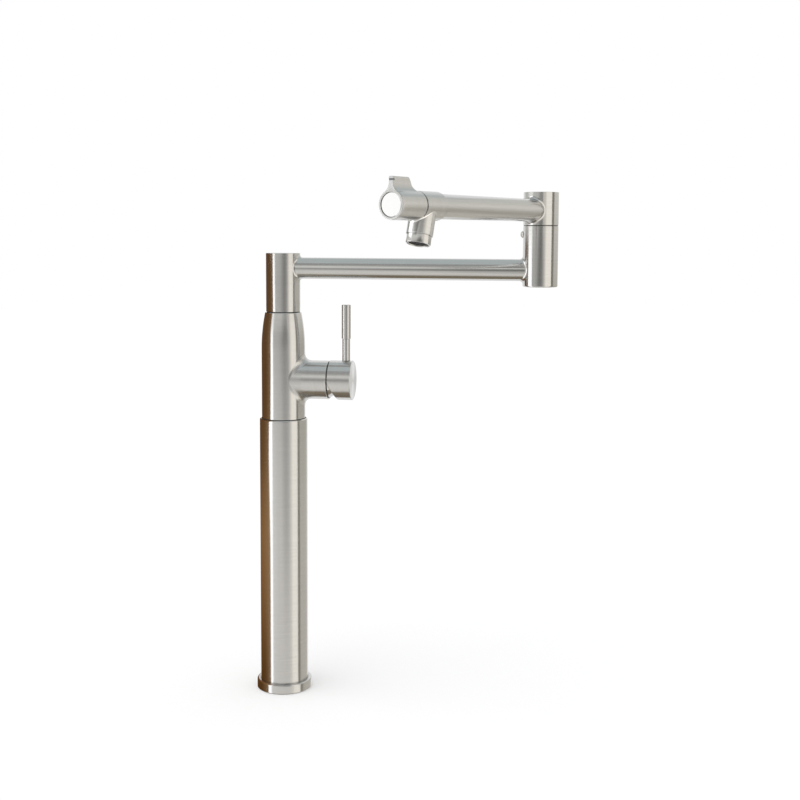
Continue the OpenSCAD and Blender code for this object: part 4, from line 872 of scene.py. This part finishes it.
glow_board("strip_light_end", upright((-0.60, -0.50), (-0.77, -0.77), BOARD_FOOT, 1.1), "FFFFFF",
           strength=1.12)
glow_board("left_above", upright((LEFT_X, 0.55), (LEFT_X, -0.56), 0.50, LIGHT_FOOT), "DDDCD6")
glow_board("high_light", upright((LEFT_X, LIGHT_BACK), (LEFT_X, -0.506), LIGHT_FOOT, LIGHT_TOP), "FFFFFF",
           strength=2.1)
glow_board("high_shade", upright((LEFT_X, 0.80), (LEFT_X, LIGHT_BACK), LIGHT_FOOT, LIGHT_TOP), "A09E98")
# The front wall, darkest at the height of the lens and high up. Its dark patches are the camera and its
# stand; its pale ones at the left and right stand in for light that falls there from the sides.
WALL_FOOT, WALL_Y, WINDOW_X = -1.8, -0.77, 0.596
WALL = [
    (WALL_FOOT, "A8A39B"), (-1.1, "CBC7C0"), (-0.7, "EDE9E3"), (-0.05, "F2EFE9"), (0.13, "EAE7E2"),
    (0.27, "D8D6D2"), (0.38, "BAB9B6"), (0.47, "C0BFBC"), (0.55, "E2E1DD"), (0.70, "F8F7F2"),
    (0.80, "E8E7E2"), (0.93, "BFBEBB"), (CEILING_Z, "AAA9A7")]
WALL_PATCHES = [
    ((0.19, -0.71, 0.37), (0.46, 1, 0.21), "5A5956", 0.62),
    ((0.3, -0.7, 0.08), (0.36, 1, 0.3), "8C8B87", 0.5),
    ((0.30, -0.69, 0.50), (0.33, 1, 0.15), "2A2926", 0.7),
    ((0.40, -0.65, 0.79), (0.55, 1, 0.18), "33322F", 0.95),
    ((-0.55, -0.77, -0.1), (0.5, 1, 0.42), "FFFFFF", 0.75),
    ((-0.5, -0.77, 0.55), (0.4, 1, 0.1), "EAE9E1", 0.85),
    ((0.67, -0.49, 0.2), (0.26, 0.26, 5), "FFFBF3", 0.95)]
for name, one, two in (("front_left", (-0.77, WALL_Y), (0.0, WALL_Y)),
                       ("front_right", (0.0, WALL_Y), (WINDOW_X, -0.518))):
    glow_board(name, upright(one, two, WALL_FOOT, CEILING_Z), WALL, patches=WALL_PATCHES)
glow_board("window_side", upright((0.42, -0.585), (WINDOW_X, -0.51), 0.49, 0.66), "F2EDE2")
# The window on the right, the dark post beside it and the pale room behind.
POST_NEAR, POST_FAR, ROOM_TOP = (0.60, -0.083), (0.95, 0.08), 1.2
glow_board("window", upright((WINDOW_X, -0.518), POST_NEAR, BOARD_FOOT, 1.1), "FFF9F0", strength=1.28,
           patches=[((0.60, -0.56, 0.2), (0.2, 0.2, 5), "DAD4C8", 0.8)])
glow_board("post", upright(POST_NEAR, POST_FAR, BOARD_FOOT, ROOM_TOP), "98958B")
glow_board("room", upright(POST_FAR, (0.50, 1.20), BOARD_FOOT, ROOM_TOP), [
    (BOARD_FOOT, "CFCAC0"), (0.0, "D9D4CA"), (0.14, "C6C2B8"), (0.25, "BDB8AE"), (0.36, "CBC7BE"),
    (0.47, "E0DDD5"), (0.62, "F6F3EB"), (0.82, "E8E6DF"), (ROOM_TOP, "E0DFDA")])


def level(x0, y0, x1, y1, z):
    """The corners of a level board."""
    return (x0, y0, z), (x1, y0, z), (x1, y1, z), (x0, y1, z)


# The ceiling, its shaded front, and the dark boards far below the deck.
glow_board("ceiling", level(-0.8, -0.47, 1.0, 0.65, CEILING_Z), "CDD5D6")
glow_board("ceiling_front", level(-0.8, -0.85, 1.0, -0.47, CEILING_Z), "AFB0AF")
glow_board("boards_below", level(-0.4, -0.32, 0.9, 0.32, -0.45), "8E8371")

# The camera stands 0.31 m right of the column and 1.24 m in front of it, at the height of the arms. It is
# turned left, tipped down and rolled by the small angles that the photograph shows.
CAMERA_PLACE = (0.30879, -1.24166, 0.48035)
turn, dip, roll = math.radians(8.497), math.radians(5.4015), math.radians(0.2928)
ahead = Vector((-math.sin(turn) * math.cos(dip), math.cos(turn) * math.cos(dip), -math.sin(dip)))
right = Vector((math.cos(turn), math.sin(turn), 0))
up = right.cross(ahead)
right, up = right * math.cos(roll) + up * math.sin(roll), up * math.cos(roll) - right * math.sin(roll)
camera = bpy.data.objects.new("camera", bpy.data.cameras.new("camera"))
camera.data.lens = 55
camera.data.sensor_width = 36
camera.data.shift_y = -0.06
camera.matrix_world = Matrix.Translation(CAMERA_PLACE) @ Matrix((right, up, -ahead)).transposed().to_4x4()
scene.collection.objects.link(camera)
scene.camera = camera
